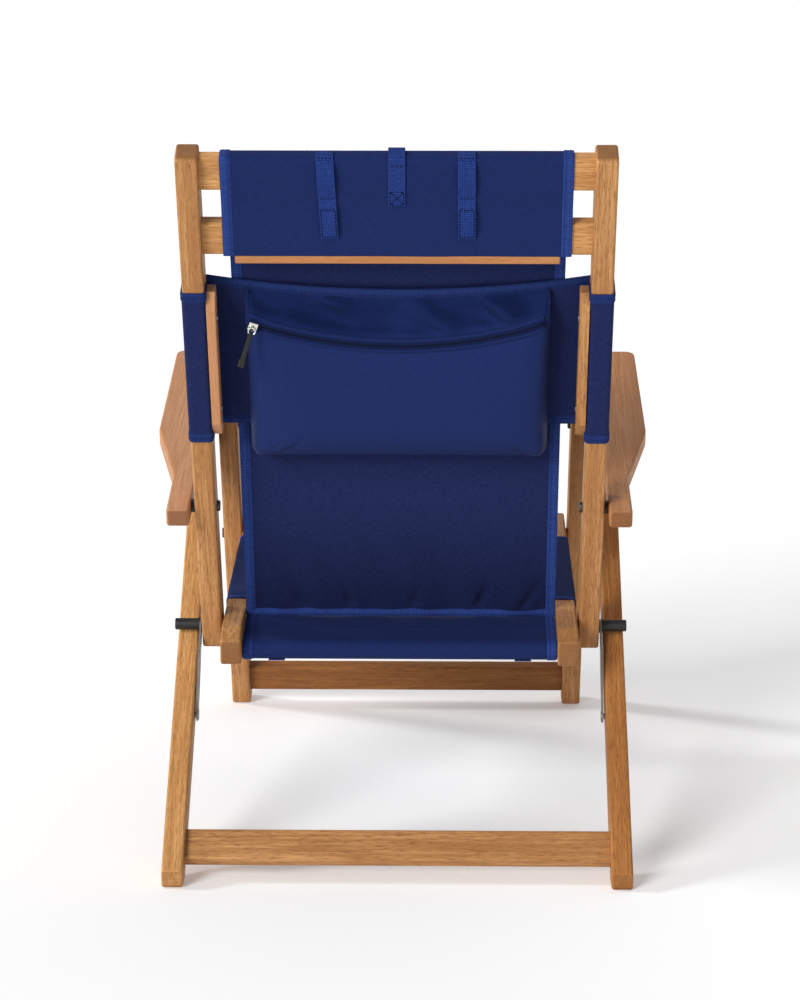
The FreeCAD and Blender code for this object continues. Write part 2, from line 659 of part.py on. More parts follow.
# Brackets: steel plates on the inner edge of the armrests, down to the top pivot
arm_to_top = (top_pivot[0] - arm_pivot[0], top_pivot[1] - arm_pivot[1])
ear_along, ear_up = turned(-arm_tilt, *arm_to_top)
ear_low = ear_up - bracket_low_width / 2
bracket_high = arm_half - edge_round
bracket = side_plate([(ear_along - bracket_low_width / 2, ear_low), (ear_along + bracket_low_width / 2, ear_low),
                      (ear_along + bracket_top_width / 2, 0.0), (ear_along + bracket_top_width / 2, bracket_high),
                      (ear_along - bracket_top_width / 2, bracket_high), (ear_along - bracket_top_width / 2, 0.0)],
                     [bracket_low_width / 3, bracket_low_width / 3, edge_round, edge_round, edge_round, edge_round],
                     bracket_inner, bracket_outer)
bracket = bracket.cut(hole(bracket_inner - past, bracket_outer + past, ear_along, ear_up))
screws = []
for along in (ear_along - bracket_screw_spacing / 2, ear_along + bracket_screw_spacing / 2):
    bore = rod(bracket_inner - past, arm_slim_x, along, 0, screw_radius + press_room)
    bracket = bracket.cut(bore)
    arm = arm.cut(bore)
    screw = rod(bracket_inner, arm_slim_x - past, along, 0, screw_radius)
    head = rod(bracket_inner - webbing_thickness, bracket_inner, along, 0, 2 * screw_radius)
    screws.append(screw.fuse(head).removeSplitter())
keep_sides("armrest", placed(arm, arm_tilt, arm_pivot))
keep_sides("arm_bracket", placed(bracket, arm_tilt, arm_pivot))
keep_sides("bracket_screws", placed(Part.makeCompound(screws), arm_tilt, arm_pivot))
arm_y, arm_z = arm_pivot
keep_sides("arm_bolt", bolt(middle_inner_x - running_gap, arm_bolt_tip - past, arm_y, arm_z))
keep_sides("arm_spacer", washer(middle_outer_x + running_gap, arm_inner_x, arm_y, arm_z, washer_radius))

# The origin is the middle of the whole chair's box, on the floor
whole = Part.makeCompound(list(parts.values())).BoundBox
shift = -(whole.YMin + whole.YMax) / 2
os.makedirs("parts", exist_ok=True)
for name, shape in parts.items():
    shape.translate(FreeCAD.Vector(0, shift, 0))
    if not shape.isValid():
        print("not valid:", name)
    shape.exportStep("parts/" + name + ".step")
print("nodes", len(parts), "box", whole.XLength, whole.YLength, whole.ZLength, "floor", whole.ZMin)
for name, point in (("main", main_pivot), ("front", front_pivot), ("arm", arm_pivot), ("top", top_pivot),
                    ("strap", strap_pin), ("zip", zip_middle[1:])):
    print("pivot", name, round(point[0] + shift, 4), round(point[1], 4))
pull_run = FreeCAD.Rotation(zip_axis, slider_swing)
pull_spot = zip_middle + pull_run.multVec(pull_hinge - zip_middle)
print("pull at", [round(v, 4) for v in pull_spot + FreeCAD.Vector(0, shift, 0)], "swing", round(slider_swing, 4))
print("pull axis", [round(v, 6) for v in pull_run.multVec(FreeCAD.Vector(1, 0, 0))])
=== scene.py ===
import json
import math

import bpy
from mathutils import Vector, noise
from mathutils.bvhtree import BVHTree
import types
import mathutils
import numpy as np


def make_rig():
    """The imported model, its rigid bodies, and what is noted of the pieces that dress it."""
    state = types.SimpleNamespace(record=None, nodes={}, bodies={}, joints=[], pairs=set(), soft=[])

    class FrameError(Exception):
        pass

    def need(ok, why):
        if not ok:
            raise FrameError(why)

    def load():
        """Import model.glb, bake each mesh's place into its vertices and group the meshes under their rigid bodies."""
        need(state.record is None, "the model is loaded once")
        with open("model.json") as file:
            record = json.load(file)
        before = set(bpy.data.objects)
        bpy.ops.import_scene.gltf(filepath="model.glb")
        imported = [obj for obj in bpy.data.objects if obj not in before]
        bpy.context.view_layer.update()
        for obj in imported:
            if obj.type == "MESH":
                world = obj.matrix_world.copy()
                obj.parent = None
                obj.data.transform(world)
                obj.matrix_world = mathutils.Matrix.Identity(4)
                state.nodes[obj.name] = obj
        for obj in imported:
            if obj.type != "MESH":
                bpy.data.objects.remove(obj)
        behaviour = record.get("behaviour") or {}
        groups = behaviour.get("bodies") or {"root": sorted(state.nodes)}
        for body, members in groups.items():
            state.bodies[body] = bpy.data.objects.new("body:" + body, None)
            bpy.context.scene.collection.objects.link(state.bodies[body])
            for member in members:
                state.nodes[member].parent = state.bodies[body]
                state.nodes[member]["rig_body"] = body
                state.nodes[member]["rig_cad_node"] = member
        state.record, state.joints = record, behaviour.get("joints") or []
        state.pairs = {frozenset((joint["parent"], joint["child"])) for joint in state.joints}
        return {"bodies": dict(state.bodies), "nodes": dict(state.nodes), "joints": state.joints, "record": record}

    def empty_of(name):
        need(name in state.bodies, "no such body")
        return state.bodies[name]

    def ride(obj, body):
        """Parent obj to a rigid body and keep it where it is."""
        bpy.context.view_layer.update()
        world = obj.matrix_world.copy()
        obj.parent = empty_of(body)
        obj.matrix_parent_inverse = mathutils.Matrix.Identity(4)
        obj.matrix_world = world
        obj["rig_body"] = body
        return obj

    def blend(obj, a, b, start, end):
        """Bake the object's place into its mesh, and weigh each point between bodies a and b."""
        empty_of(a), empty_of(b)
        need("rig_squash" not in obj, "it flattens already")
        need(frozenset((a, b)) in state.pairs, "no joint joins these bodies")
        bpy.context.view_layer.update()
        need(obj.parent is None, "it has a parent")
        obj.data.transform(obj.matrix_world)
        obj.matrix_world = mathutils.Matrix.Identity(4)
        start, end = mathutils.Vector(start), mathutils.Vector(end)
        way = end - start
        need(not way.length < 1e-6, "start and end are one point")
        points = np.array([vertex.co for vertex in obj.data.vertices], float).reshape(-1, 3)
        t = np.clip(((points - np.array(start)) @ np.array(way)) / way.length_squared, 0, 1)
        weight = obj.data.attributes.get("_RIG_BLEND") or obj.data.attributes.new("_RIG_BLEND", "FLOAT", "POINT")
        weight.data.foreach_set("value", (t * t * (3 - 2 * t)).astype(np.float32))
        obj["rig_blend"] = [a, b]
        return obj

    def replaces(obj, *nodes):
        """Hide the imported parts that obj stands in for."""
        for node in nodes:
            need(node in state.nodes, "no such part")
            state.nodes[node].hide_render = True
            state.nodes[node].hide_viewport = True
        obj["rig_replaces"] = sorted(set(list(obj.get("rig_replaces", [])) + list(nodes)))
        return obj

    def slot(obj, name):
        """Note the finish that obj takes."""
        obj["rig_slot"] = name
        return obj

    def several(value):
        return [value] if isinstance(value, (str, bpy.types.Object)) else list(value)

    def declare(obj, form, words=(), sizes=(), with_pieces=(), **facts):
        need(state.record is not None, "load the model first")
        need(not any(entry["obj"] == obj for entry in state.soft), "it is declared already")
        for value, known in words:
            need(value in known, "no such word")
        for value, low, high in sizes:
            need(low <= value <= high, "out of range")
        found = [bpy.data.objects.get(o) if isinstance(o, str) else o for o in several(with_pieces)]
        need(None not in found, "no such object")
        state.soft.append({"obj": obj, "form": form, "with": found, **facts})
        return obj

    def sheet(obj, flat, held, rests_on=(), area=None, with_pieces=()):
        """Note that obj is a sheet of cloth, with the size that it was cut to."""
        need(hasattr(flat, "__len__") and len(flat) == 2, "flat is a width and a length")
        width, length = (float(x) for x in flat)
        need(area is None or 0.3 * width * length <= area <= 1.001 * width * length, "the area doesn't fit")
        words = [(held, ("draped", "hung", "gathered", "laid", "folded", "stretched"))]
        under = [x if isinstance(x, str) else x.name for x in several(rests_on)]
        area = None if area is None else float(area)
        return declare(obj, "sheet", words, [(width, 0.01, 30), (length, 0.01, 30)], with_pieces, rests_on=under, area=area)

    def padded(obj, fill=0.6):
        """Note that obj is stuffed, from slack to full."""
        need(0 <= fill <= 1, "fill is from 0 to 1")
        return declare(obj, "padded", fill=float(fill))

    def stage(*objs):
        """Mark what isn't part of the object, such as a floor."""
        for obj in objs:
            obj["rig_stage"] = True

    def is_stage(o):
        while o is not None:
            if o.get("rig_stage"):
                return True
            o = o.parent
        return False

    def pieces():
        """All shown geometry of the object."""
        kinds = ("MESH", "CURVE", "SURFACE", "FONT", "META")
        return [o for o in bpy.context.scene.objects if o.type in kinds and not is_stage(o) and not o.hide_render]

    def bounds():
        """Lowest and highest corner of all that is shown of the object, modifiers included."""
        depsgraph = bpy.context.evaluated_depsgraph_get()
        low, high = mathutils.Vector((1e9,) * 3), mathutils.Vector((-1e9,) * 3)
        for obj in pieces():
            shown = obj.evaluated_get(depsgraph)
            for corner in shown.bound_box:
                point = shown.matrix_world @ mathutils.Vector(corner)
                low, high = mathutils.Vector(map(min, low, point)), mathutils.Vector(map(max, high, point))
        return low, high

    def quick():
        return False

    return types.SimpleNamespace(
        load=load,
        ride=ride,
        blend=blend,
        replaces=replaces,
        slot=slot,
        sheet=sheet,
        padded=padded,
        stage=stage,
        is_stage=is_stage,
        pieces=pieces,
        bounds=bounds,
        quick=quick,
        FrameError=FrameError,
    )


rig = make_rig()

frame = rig.load()
cad_low, cad_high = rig.bounds()
nodes = frame["nodes"]
hinge = {joint["name"]: joint for joint in frame["joints"]}

# Timber frame: oiled hardwood members, planed square and rounded over along the edges. The solids of the frame are
# kept.
# Each gets a grain in one of a few close tones, laid along it and shifted so that no two match. Some of the tones are
# painted light and shade: a lighter tone on the top and second rails and the left rear leg, darker ones on the front
# stretcher, the right rear leg and the right armrest.
seat_tilt = math.radians(3.764)
recline = math.radians(24.0)
rear_leg_lean = math.radians(37.591)
arm_tilt = math.radians(11.0)
upright_lean = recline + math.pi / 2
tone_names = ("Light", "Dark", "Pore", "End")


def join(tree, source, target):
    tree.links.new(source, target)


def set_values(node, values):
    """Sets the values of a node's sockets by their names."""
    for socket, value in values.items():
        node.inputs[socket].default_value = value


def new_group(name, inputs, outputs):
    """A node group with these sockets, each a name and a kind, and the ends of its input and output nodes."""
    group = bpy.data.node_groups.new(name, "ShaderNodeTree")
    for way, sockets in (("INPUT", inputs), ("OUTPUT", outputs)):
        for socket, kind in sockets:
            group.interface.new_socket(name=socket, in_out=way, socket_type="NodeSocket" + kind)
    return group, group.nodes.new("NodeGroupInput").outputs, group.nodes.new("NodeGroupOutput").inputs


def new_material(name):
    """A material, its node tree and the Principled shader in it."""
    material = bpy.data.materials.new(name)
    material.use_nodes = True
    return material, material.node_tree, material.node_tree.nodes["Principled BSDF"]


def reckoned(tree, operation, *values):
    """The result of a sum on sockets or plain numbers."""
    node = tree.nodes.new("ShaderNodeMath")
    node.operation = operation
    for socket, value in zip(node.inputs, values):
        if isinstance(value, float):
            socket.default_value = value
        else:
            join(tree, value, socket)
    return node.outputs["Value"]


def stretched_noise(tree, place, stretch, detail, distortion=0.0):
    """Noise with this many grains to the metre each way."""
    scaled = tree.nodes.new("ShaderNodeVectorMath")
    scaled.operation = "MULTIPLY"
    scaled.inputs[1].default_value = stretch
    join(tree, place, scaled.inputs[0])
    pattern = tree.nodes.new("ShaderNodeTexNoise")
    set_values(pattern, {"Scale": 1.0, "Detail": detail, "Distortion": distortion})
    join(tree, scaled.outputs["Vector"], pattern.inputs["Vector"])
    return pattern.outputs["Fac"]


def ranged(tree, value, low, high, out_low=0.0, out_high=1.0):
    """A value between low and high, laid over another range."""
    node = tree.nodes.new("ShaderNodeMapRange")
    set_values(node, {"From Min": low, "From Max": high, "To Min": out_low, "To Max": out_high})
    join(tree, value, node.inputs["Value"])
    return node.outputs["Result"]


def blended(tree, factor, first, second):
    """The first colour, which turns into the second one as the factor rises."""
    node = tree.nodes.new("ShaderNodeMix")
    node.data_type = "RGBA"
    for socket, source in (("Factor", factor), ("A", first), ("B", second)):
        join(tree, source, node.inputs[socket])
    return node.outputs["Result"]


def timber_grain():
    """Grain that runs along X: a broad figure, fine streaks and short dark pores, darker on the ends."""
    group, given, result = new_group(
        "timber_grain", [("Place", "Vector"), ("Facing", "Vector")] + [(tone, "Color") for tone in tone_names],
        [("Color", "Color"), ("Roughness", "Float"), ("Height", "Float")])
    most_fine, most_pore = 0.9, 0.56
    figure = stretched_noise(group, given["Place"], (2.4, 52.0, 52.0), 4.0, 0.8)
    fine = stretched_noise(group, given["Place"], (12.0, 330.0, 330.0), 3.0)
    fine = ranged(group, fine, 0.40, 0.62, 0.0, most_fine)
    pores = stretched_noise(group, given["Place"], (70.0, 1050.0, 1050.0), 2.0)
    pores = ranged(group, pores, 0.53, 0.65, 0.0, most_pore)
    tone = blended(group, ranged(group, figure, 0.3, 0.7), given["Dark"], given["Light"])
    tone = blended(group, fine, tone, given["Dark"])
    tone = blended(group, pores, tone, given["Pore"])
    ways = group.nodes.new("ShaderNodeSeparateXYZ")
    join(group, given["Facing"], ways.inputs["Vector"])
    ends = ranged(group, reckoned(group, "ABSOLUTE", ways.outputs["X"]), 0.6, 0.95, 0.0, 0.75)
    join(group, blended(group, ends, tone, given["End"]), result["Color"])
    join(group, ranged(group, fine, 0.0, most_fine, 0.46, 0.62), result["Roughness"])
    join(group, ranged(group, pores, 0.0, most_pore, 1.0, 0.0), result["Height"])
    return group


grain = timber_grain()


def oiled_timber(name, tones, turn, shift):
    """The timber finish of one member, its grain turned along the member."""
    material, tree, shader = new_material(name)
    place = tree.nodes.new("ShaderNodeTexCoord")
    laid = tree.nodes.new("ShaderNodeMapping")
    set_values(laid, {"Location": (shift, 0.7 * shift, 0.3 * shift), "Rotation": turn})
    facing = tree.nodes.new("ShaderNodeMapping")
    facing.vector_type = "VECTOR"
    facing.inputs["Rotation"].default_value = turn
    wood = tree.nodes.new("ShaderNodeGroup")
    wood.node_tree = grain
    set_values(wood, {tone: (*colour, 1.0) for tone, colour in zip(tone_names, tones)})
    bump = tree.nodes.new("ShaderNodeBump")
    set_values(bump, {"Strength": 0.25, "Distance": 0.0004})
    join(tree, place.outputs["Object"], laid.inputs["Vector"])
    join(tree, laid.outputs["Vector"], wood.inputs["Place"])
    join(tree, place.outputs["Normal"], facing.inputs["Vector"])
    join(tree, facing.outputs["Vector"], wood.inputs["Facing"])
    join(tree, wood.outputs["Color"], shader.inputs["Base Color"])
    join(tree, wood.outputs["Roughness"], shader.inputs["Roughness"])
    join(tree, wood.outputs["Height"], bump.inputs["Height"])
    join(tree, bump.outputs["Normal"], shader.inputs["Normal"])
    shader.inputs["Specular IOR Level"].default_value = 0.2
    return material


# The tones of a timber are its light and dark grain, its pores and its ends.
honey = ((0.60, 0.312, 0.124), (0.37, 0.164, 0.053), (0.13, 0.047, 0.014), (0.19, 0.080, 0.027))
rosy = ((0.58, 0.295, 0.150), (0.48, 0.222, 0.102), (0.37, 0.160, 0.068), (0.17, 0.064, 0.028))
tawny = ((0.56, 0.257, 0.104), (0.42, 0.177, 0.064), (0.32, 0.128, 0.043), (0.16, 0.058, 0.021))
# Painted light: a lighter copy of honey, which brightens the top and second rails and the left rear leg.
painted_light_honey = ((0.74, 0.405, 0.158), (0.46, 0.213, 0.067), (0.16, 0.060, 0.018), (0.22, 0.096, 0.032))
# Painted shade: a darker copy of honey for the right rear leg, on the side away from the light.
painted_shade_amber = ((0.57, 0.255, 0.080), (0.35, 0.134, 0.034), (0.12, 0.039, 0.009), (0.17, 0.064, 0.017))
# Painted shade: a dark copy of honey for the front stretcher, which lies in the seat's shadow.
shaded = ((0.36, 0.148, 0.042), (0.215, 0.080, 0.020), (0.11, 0.036, 0.010), (0.15, 0.055, 0.017))
# The right armrest takes tawny, darker than the left one's rosy, as painted shade on the side away from the light.
leaning = (("seat_rail", seat_tilt, honey, honey), ("back_upright", upright_lean, honey, honey),
           ("front_leg", upright_lean, honey, honey), ("rear_leg", rear_leg_lean, painted_light_honey, painted_shade_amber),
           ("armrest", arm_tilt, rosy, tawny), ("clamp_batten", upright_lean, rosy, honey))
crosswise = (("top_rail", painted_light_honey), ("second_rail", painted_light_honey), ("retaining_slat", tawny), ("seat_rear_bar", honey),
             ("seat_front_bar", honey), ("front_stretcher", shaded), ("rear_stretcher", honey))
members = []
for member, lean, left_tones, right_tones in leaning:
    along_lean = (-lean, 0.0, -math.pi / 2)
    members += [(member + "_left", left_tones, along_lean), (member + "_right", right_tones, along_lean)]
members += [(member, tones, (0.0, 0.0, 0.0)) for member, tones in crosswise]
grain_shift = 1.37
for number, (member, tones, turn) in enumerate(members):
    finish = oiled_timber(member + "_timber", tones, turn, grain_shift * number)
    nodes[member].data.materials.clear()
    nodes[member].data.materials.append(finish)

# Hardware: zinc-plated straps, brackets and screws, blackened bolt heads, black moulded washers and stop
# sleeves, and a nickel-plated zip slider with a soft black pull. The solids of the frame are kept.
def handled(name, colour, metallic, roughness, spread):
    """A hard finish whose gloss varies a little from place to place."""
    material, tree, shader = new_material(name)
    set_values(shader, {"Base Color": (*colour, 1.0), "Metallic": metallic})
    place = tree.nodes.new("ShaderNodeTexCoord")
    smudge = tree.nodes.new("ShaderNodeTexNoise")
    set_values(smudge, {"Scale": 160.0, "Detail": 4.0})
    join(tree, place.outputs["Object"], smudge.inputs["Vector"])
    gloss = ranged(tree, smudge.outputs["Fac"], 0.3, 0.7, roughness - spread, roughness + spread)
    join(tree, gloss, shader.inputs["Roughness"])
    return material


zinc = handled("zinc_plate", (0.34, 0.335, 0.33), 1.0, 0.4, 0.1)
blackened = handled("blackened_steel", (0.10, 0.092, 0.085), 1.0, 0.42, 0.1)
moulded = handled("black_moulding", (0.008, 0.008, 0.008), 0.0, 0.5, 0.08)
soft_black = handled("soft_black", (0.006, 0.006, 0.0065), 0.0, 0.66, 0.06)
nickel = handled("nickel_plate", (0.78, 0.76, 0.71), 1.0, 0.2, 0.06)
hardware = {
    zinc: ["batten_screws", "link_strap_left", "link_strap_right", "strap_rivet_left", "strap_rivet_right",
           "arm_bracket_left", "arm_bracket_right", "bracket_screws_left", "bracket_screws_right"],
    blackened: ["main_bolts", "front_bolts", "top_bolts", "arm_bolt_left", "arm_bolt_right"],
    moulded: ["stop_sleeves", "seat_washers", "back_washers", "front_washers", "top_washers",
              "arm_spacer_left", "arm_spacer_right"],
    soft_black: ["zip_pull"],
    nickel: ["zip_slider", "pull_ring"],
}
for finish, names in hardware.items():
    for name in names:
        nodes[name].data.materials.clear()
        nodes[name].data.materials.append(finish)

# Back sling: one length of navy canvas from the head flap down to the seat seam, bound in a brighter blue
# tape along both sides and across the seam. It turns with the back, and its foot stays sewn to the seat.
main_pivot = Vector(hinge["back_fold"]["pos_m"])
sides = ((-1, "left"), (1, "right"))
cloth = 0.0014
tape_width = 0.012
tape_rows = (0.0030, tape_width - 0.0022)
tape_lift, cloth_lift = 0.0019, 0.0009
sling_half = 0.2105
diagonal = 0.785


def on_back(across, ahead, up):
    """A point of the reclined back, ahead of the uprights' middle and up along them from the main pivot."""
    return Vector((across,
                   main_pivot.y + ahead * math.cos(recline) - up * math.sin(recline),
                   main_pivot.z + ahead * math.sin(recline) + up * math.cos(recline)))


def thread_group():
    """Crossing threads in metres of cloth: a height for the bump and a colour with slubs along both ways."""
    group, given, result = new_group(
        "crossed_threads",
        [("Place", "Vector"), ("Threads", "Float"), ("Dots", "Float"), ("Cloth", "Color"), ("Shade", "Color")],
        [("Color", "Color"), ("Height", "Float")])
    ways = group.nodes.new("ShaderNodeSeparateXYZ")
    join(group, given["Place"], ways.inputs["Vector"])
    turns = reckoned(group, "MULTIPLY", given["Threads"], math.pi)
    warp = reckoned(group, "SINE", reckoned(group, "MULTIPLY", ways.outputs["X"], turns))
    weft = reckoned(group, "SINE", reckoned(group, "MULTIPLY", ways.outputs["Y"], turns))
    crossing = reckoned(group, "MULTIPLY", warp, weft)
    join(group, reckoned(group, "MULTIPLY_ADD", crossing, 0.5, 0.5), result["Height"])
    slub_long, slub_wide = 130.0, 1300.0
    mottle = reckoned(group, "ADD", stretched_noise(group, given["Place"], (slub_wide, slub_long, 1.0), 2.0),
                      stretched_noise(group, given["Place"], (slub_long, slub_wide, 1.0), 2.0))
    dotted = reckoned(group, "ADD", mottle, reckoned(group, "MULTIPLY", crossing, given["Dots"]))
    join(group, blended(group, ranged(group, dotted, 0.75, 1.25), given["Shade"], given["Cloth"]),
         result["Color"])
    return group


crossed_threads = thread_group()


def woven(name, cloth_colour, shade_colour, threads, slant, bump_depth, dots=0.0):
    """Woven cloth: crossing threads that follow the piece's own lengthways and crossways, and faint slubs."""
    material, tree, shader = new_material(name)
    place = tree.nodes.new("ShaderNodeTexCoord")
    turned = tree.nodes.new("ShaderNodeMapping")
    turned.inputs["Rotation"].default_value = (0.0, 0.0, slant)
    weave = tree.nodes.new("ShaderNodeGroup")
    weave.node_tree = crossed_threads
    set_values(weave, {"Threads": threads, "Dots": dots, "Cloth": (*cloth_colour, 1.0),
                       "Shade": (*shade_colour, 1.0)})
    bump = tree.nodes.new("ShaderNodeBump")
    set_values(bump, {"Strength": 0.5, "Distance": bump_depth})
    join(tree, place.outputs["UV"], turned.inputs["Vector"])
    join(tree, turned.outputs["Vector"], weave.inputs["Place"])
    join(tree, weave.outputs["Color"], shader.inputs["Base Color"])
    join(tree, weave.outputs["Height"], bump.inputs["Height"])
    join(tree, bump.outputs["Normal"], shader.inputs["Normal"])
    set_values(shader, {"Roughness": 0.85, "Specular IOR Level": 0.08, "Sheen Weight": 0.02,
                        "Sheen Roughness": 0.4})
    return material


blue_tape = woven("blue_tape", (0.029, 0.061, 0.247), (0.0127, 0.0297, 0.141), 560.0, diagonal, 0.0006, 0.3)
thread_blue = woven("thread_blue", (0.019, 0.038, 0.165), (0.013, 0.027, 0.12), 2000.0, 0.0, 0.0002)


def fresh_grid(name, columns, rows):
    bpy.ops.object.select_all(action="DESELECT")
    bpy.ops.mesh.primitive_grid_add(x_subdivisions=columns, y_subdivisions=rows, size=1.0)
    grid = bpy.context.object
    grid.name = name
    grid.data.name = name
    return grid


def spread_grid(grid, left, right, start, end, surface):
    """Lays a unit grid on a surface of two lengths in metres, and keeps those lengths as its UV map."""
    mesh = grid.data
    spots = [(left + (vertex.co.x + 0.5) * (right - left), start + (vertex.co.y + 0.5) * (end - start))
             for vertex in mesh.vertices]
    marks = mesh.uv_layers.active.data
    for loop in mesh.loops:
        marks[loop.index].uv = spots[loop.vertex_index]
    for vertex, spot in zip(mesh.vertices, spots):
        vertex.co = surface(*spot)
    mesh.update()


def chosen(piece):
    """Makes a piece the only selected one and the active one."""
    bpy.ops.object.select_all(action="DESELECT")
    piece.select_set(True)
    bpy.context.view_layer.objects.active = piece


def welded(piece, gap=1e-6, capped=False):
    """Joins the points of a piece that meet, caps its open ends if asked, and turns its faces outward."""
    chosen(piece)
    bpy.ops.object.mode_set(mode="EDIT")
    bpy.ops.mesh.select_all(action="SELECT")
    if gap:
        bpy.ops.mesh.remove_doubles(threshold=gap)
    if capped:
        bpy.ops.mesh.fill_holes(sides=0)
        bpy.ops.mesh.select_all(action="SELECT")
    bpy.ops.mesh.normals_make_consistent(inside=False)
    bpy.ops.object.mode_set(mode="OBJECT")


def finished(piece, material, slot, thickness=0.0, levels=0):
    """Gives a piece its cloth thickness, its smooth look, its material and its slot."""
    chosen(piece)
    if thickness:
        wall = piece.modifiers.new("wall", "SOLIDIFY")
        wall.thickness = thickness
        wall.offset = 0.0
        bpy.ops.object.modifier_apply(modifier=wall.name)
    if levels:
        smooth = piece.modifiers.new("smooth", "SUBSURF")
        smooth.levels = levels
        smooth.render_levels = levels
        bpy.ops.object.modifier_apply(modifier=smooth.name)
    bpy.ops.object.shade_smooth_by_angle(angle=math.radians(50))
    piece.data.materials.clear()
    piece.data.materials.append(material)
    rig.slot(piece, slot)
    return piece


def lifted(surface, x, s, lift):
    """A point off the surface, along its normal, which for the back's cloth looks to the rear."""
    step = 0.0005
    middle = surface(x, s)
    normal = (surface(x + step, s) - middle).cross(surface(x, s + step) - middle).normalized()
    return middle + normal * lift


def bound_edge(name, surface, edge, inward, count, width=tape_width, tape_cloth=blue_tape, half=0.0017):
    """A tape folded over an edge of cloth. edge(t) gives the edge, inward the way into the cloth."""
    one_side = [(-0.0012, 0.0), (-0.0008, 0.7 * half), (0.001, half), (width / 2, 1.05 * half),
                (width - 0.001, half), (width, 0.6 * half)]
    section = one_side + [(inset, -lift) for inset, lift in reversed(one_side)]
    rounds = len(section) - 1
    tape = fresh_grid(name, count, rounds)
    length = (Vector(edge(1.0)) - Vector(edge(0.0))).length

    def folded(along, around):
        x, s = edge(min(max(along / length, 0.0), 1.0))
        inset, lift = section[min(int(round(around / width * rounds)), rounds)]
        return lifted(surface, x + inset * inward[0], s + inset * inward[1], lift)

    spread_grid(tape, 0.0, length, 0.0, width, folded)
    welded(tape, capped=True)
    return finished(tape, tape_cloth, "webbing")


def side_tapes(name, surface, half, start, end, count):
    """Tapes along both sides of a cloth that is this half wide."""
    return [bound_edge(name + label, surface, lambda t, x=side * half: (x, start + t * (end - start)),
                       (-side, 0.0), count) for side, label in sides]


def drawn(name, points, faces):
    """A piece made of these points and faces."""
    mesh = bpy.data.meshes.new(name)
    mesh.from_pydata(points, [], faces)
    piece = bpy.data.objects.new(name, mesh)
    bpy.context.scene.collection.objects.link(piece)
    return piece


def stitches(name, rows, thread, wide_half=0.00042):
    """Rows of short raised stitches. A row is a surface, two spots on it and how far off it the thread lies."""
    long_half, high, pitch = 0.0015, 0.00035, 0.0042
    corners = 5
    rings = ((-1.0, 0.35), (-0.55, 1.0), (0.55, 1.0), (1.0, 0.35))
    last = corners * (len(rings) - 1)
    points, faces = [], []
    for surface, start, end, lift in rows:
        start, end = Vector(start), Vector(end)
        count = max(int((end - start).length / pitch), 1)
        ahead = (end - start).normalized() * 0.001
        for number in range(count):
            spot = start.lerp(end, (number + 0.5) / count)
            middle = lifted(surface, spot.x, spot.y, lift)
            along = (lifted(surface, spot.x + ahead.x, spot.y + ahead.y, lift) - middle).normalized()
            up = (lifted(surface, spot.x, spot.y, 1.5 * lift) - middle).normalized()
            aside = along.cross(up)
            first = len(points)
            for step, slim in rings:
                for turn in range(corners):
                    angle = turn * math.tau / corners
                    points.append(middle + along * long_half * step + aside * wide_half * slim * math.cos(angle)
                                  + up * high * slim * math.sin(angle))
            for ring in range(first, first + last, corners):
                for turn in range(corners):
                    a, b = ring + turn, ring + (turn + 1) % corners
                    faces.append((a, b, b + corners, a + corners))
            faces.append(tuple(first + turn for turn in reversed(range(corners))))
            faces.append(tuple(first + last + turn for turn in range(corners)))
    row = drawn(name, points, faces)
    row.data.uv_layers.new(name="UVMap")
    welded(row, gap=0.0)
    return finished(row, thread, "webbing")


def side_rows(surface, half, start, end, lifts):
    """Stitch rows along the side tapes of a cloth that is this half wide."""
    return [(surface, (side * (half - inset), start), (side * (half - inset), end), lift)
            for inset in tape_rows for side, _ in sides for lift in lifts]


def cross_row(surface, half, at, lift):
    """A stitch row across a cloth, this far to both sides of its middle."""
    return (surface, (-half, at), (half, at), lift)


def through_three(marks, at):
    """The smooth line through three (place, value) marks."""
    total = 0.0
    for place, value in marks:
        share = value
        for other, _ in marks:
            if other != place:
                share *= (at - other) / (place - other)
        total += share
    return total


def ruffle(*place):
    """A smooth unevenness between about -0.5 and 0.5."""
    return noise.noise(Vector(place))


def peaked(distance, peak):
    """Rises from 0 to 1 at the peak's distance, and fades beyond it."""
    share = max(distance, 0.0) / peak
    return share * math.exp(1 - share)


sling_foot, sling_head = 0.010, 0.603
sling_ahead = ((sling_head, 0.0212), (0.439, 0.0302), (sling_foot, 0.0092))
sling_turn_end = 0.165
seam_tape = 0.009
sag_deep, sag_long = 0.004, 0.3
pucker_deep, pucker_rise = 0.0085, 0.030
tuck_wide, tuck_rise = 0.0065, 0.011
# Each tuck above the seam: where it is, how deep it is and how it leans.
seam_tucks = ((-0.118, 0.0032, -0.5), (-0.060, 0.0056, -0.3), (0.013, 0.0040, 0.2), (0.100, 0.0060, 0.3),
              (0.152, 0.0040, 0.6))


def back_cloth_surface(x, s):
    sag = sag_deep * max(0.0, math.sin(math.pi * min(max((s - sling_foot) / sag_long, 0.0), 1.0)))
    sag *= math.cos(x / sling_half * 1.4)
    pucker = pucker_deep * peaked(s - sling_foot, pucker_rise) * ruffle(x * 25.0 + s * 9.0, s * 5.0, 2.7)
    tuck = sum(depth * math.exp(-((x - at - lean * s) / tuck_wide) ** 2) for at, depth, lean in seam_tucks)
    tuck *= peaked(s - sling_foot - seam_tape, tuck_rise)
    ripple = 0.0009 * ruffle(x * 9.0, s * 7.0, 0.4)
    return on_back(x, through_three(sling_ahead, s) - sag + pucker + tuck + ripple, s)


def split_place(material, kind):
    """The sockets X, Y and Z of one kind of texture place in this material."""
    tree = material.node_tree
    place = tree.nodes.new("ShaderNodeTexCoord")
    parts = tree.nodes.new("ShaderNodeSeparateXYZ")
    join(tree, place.outputs[kind], parts.inputs["Vector"])
    return parts.outputs


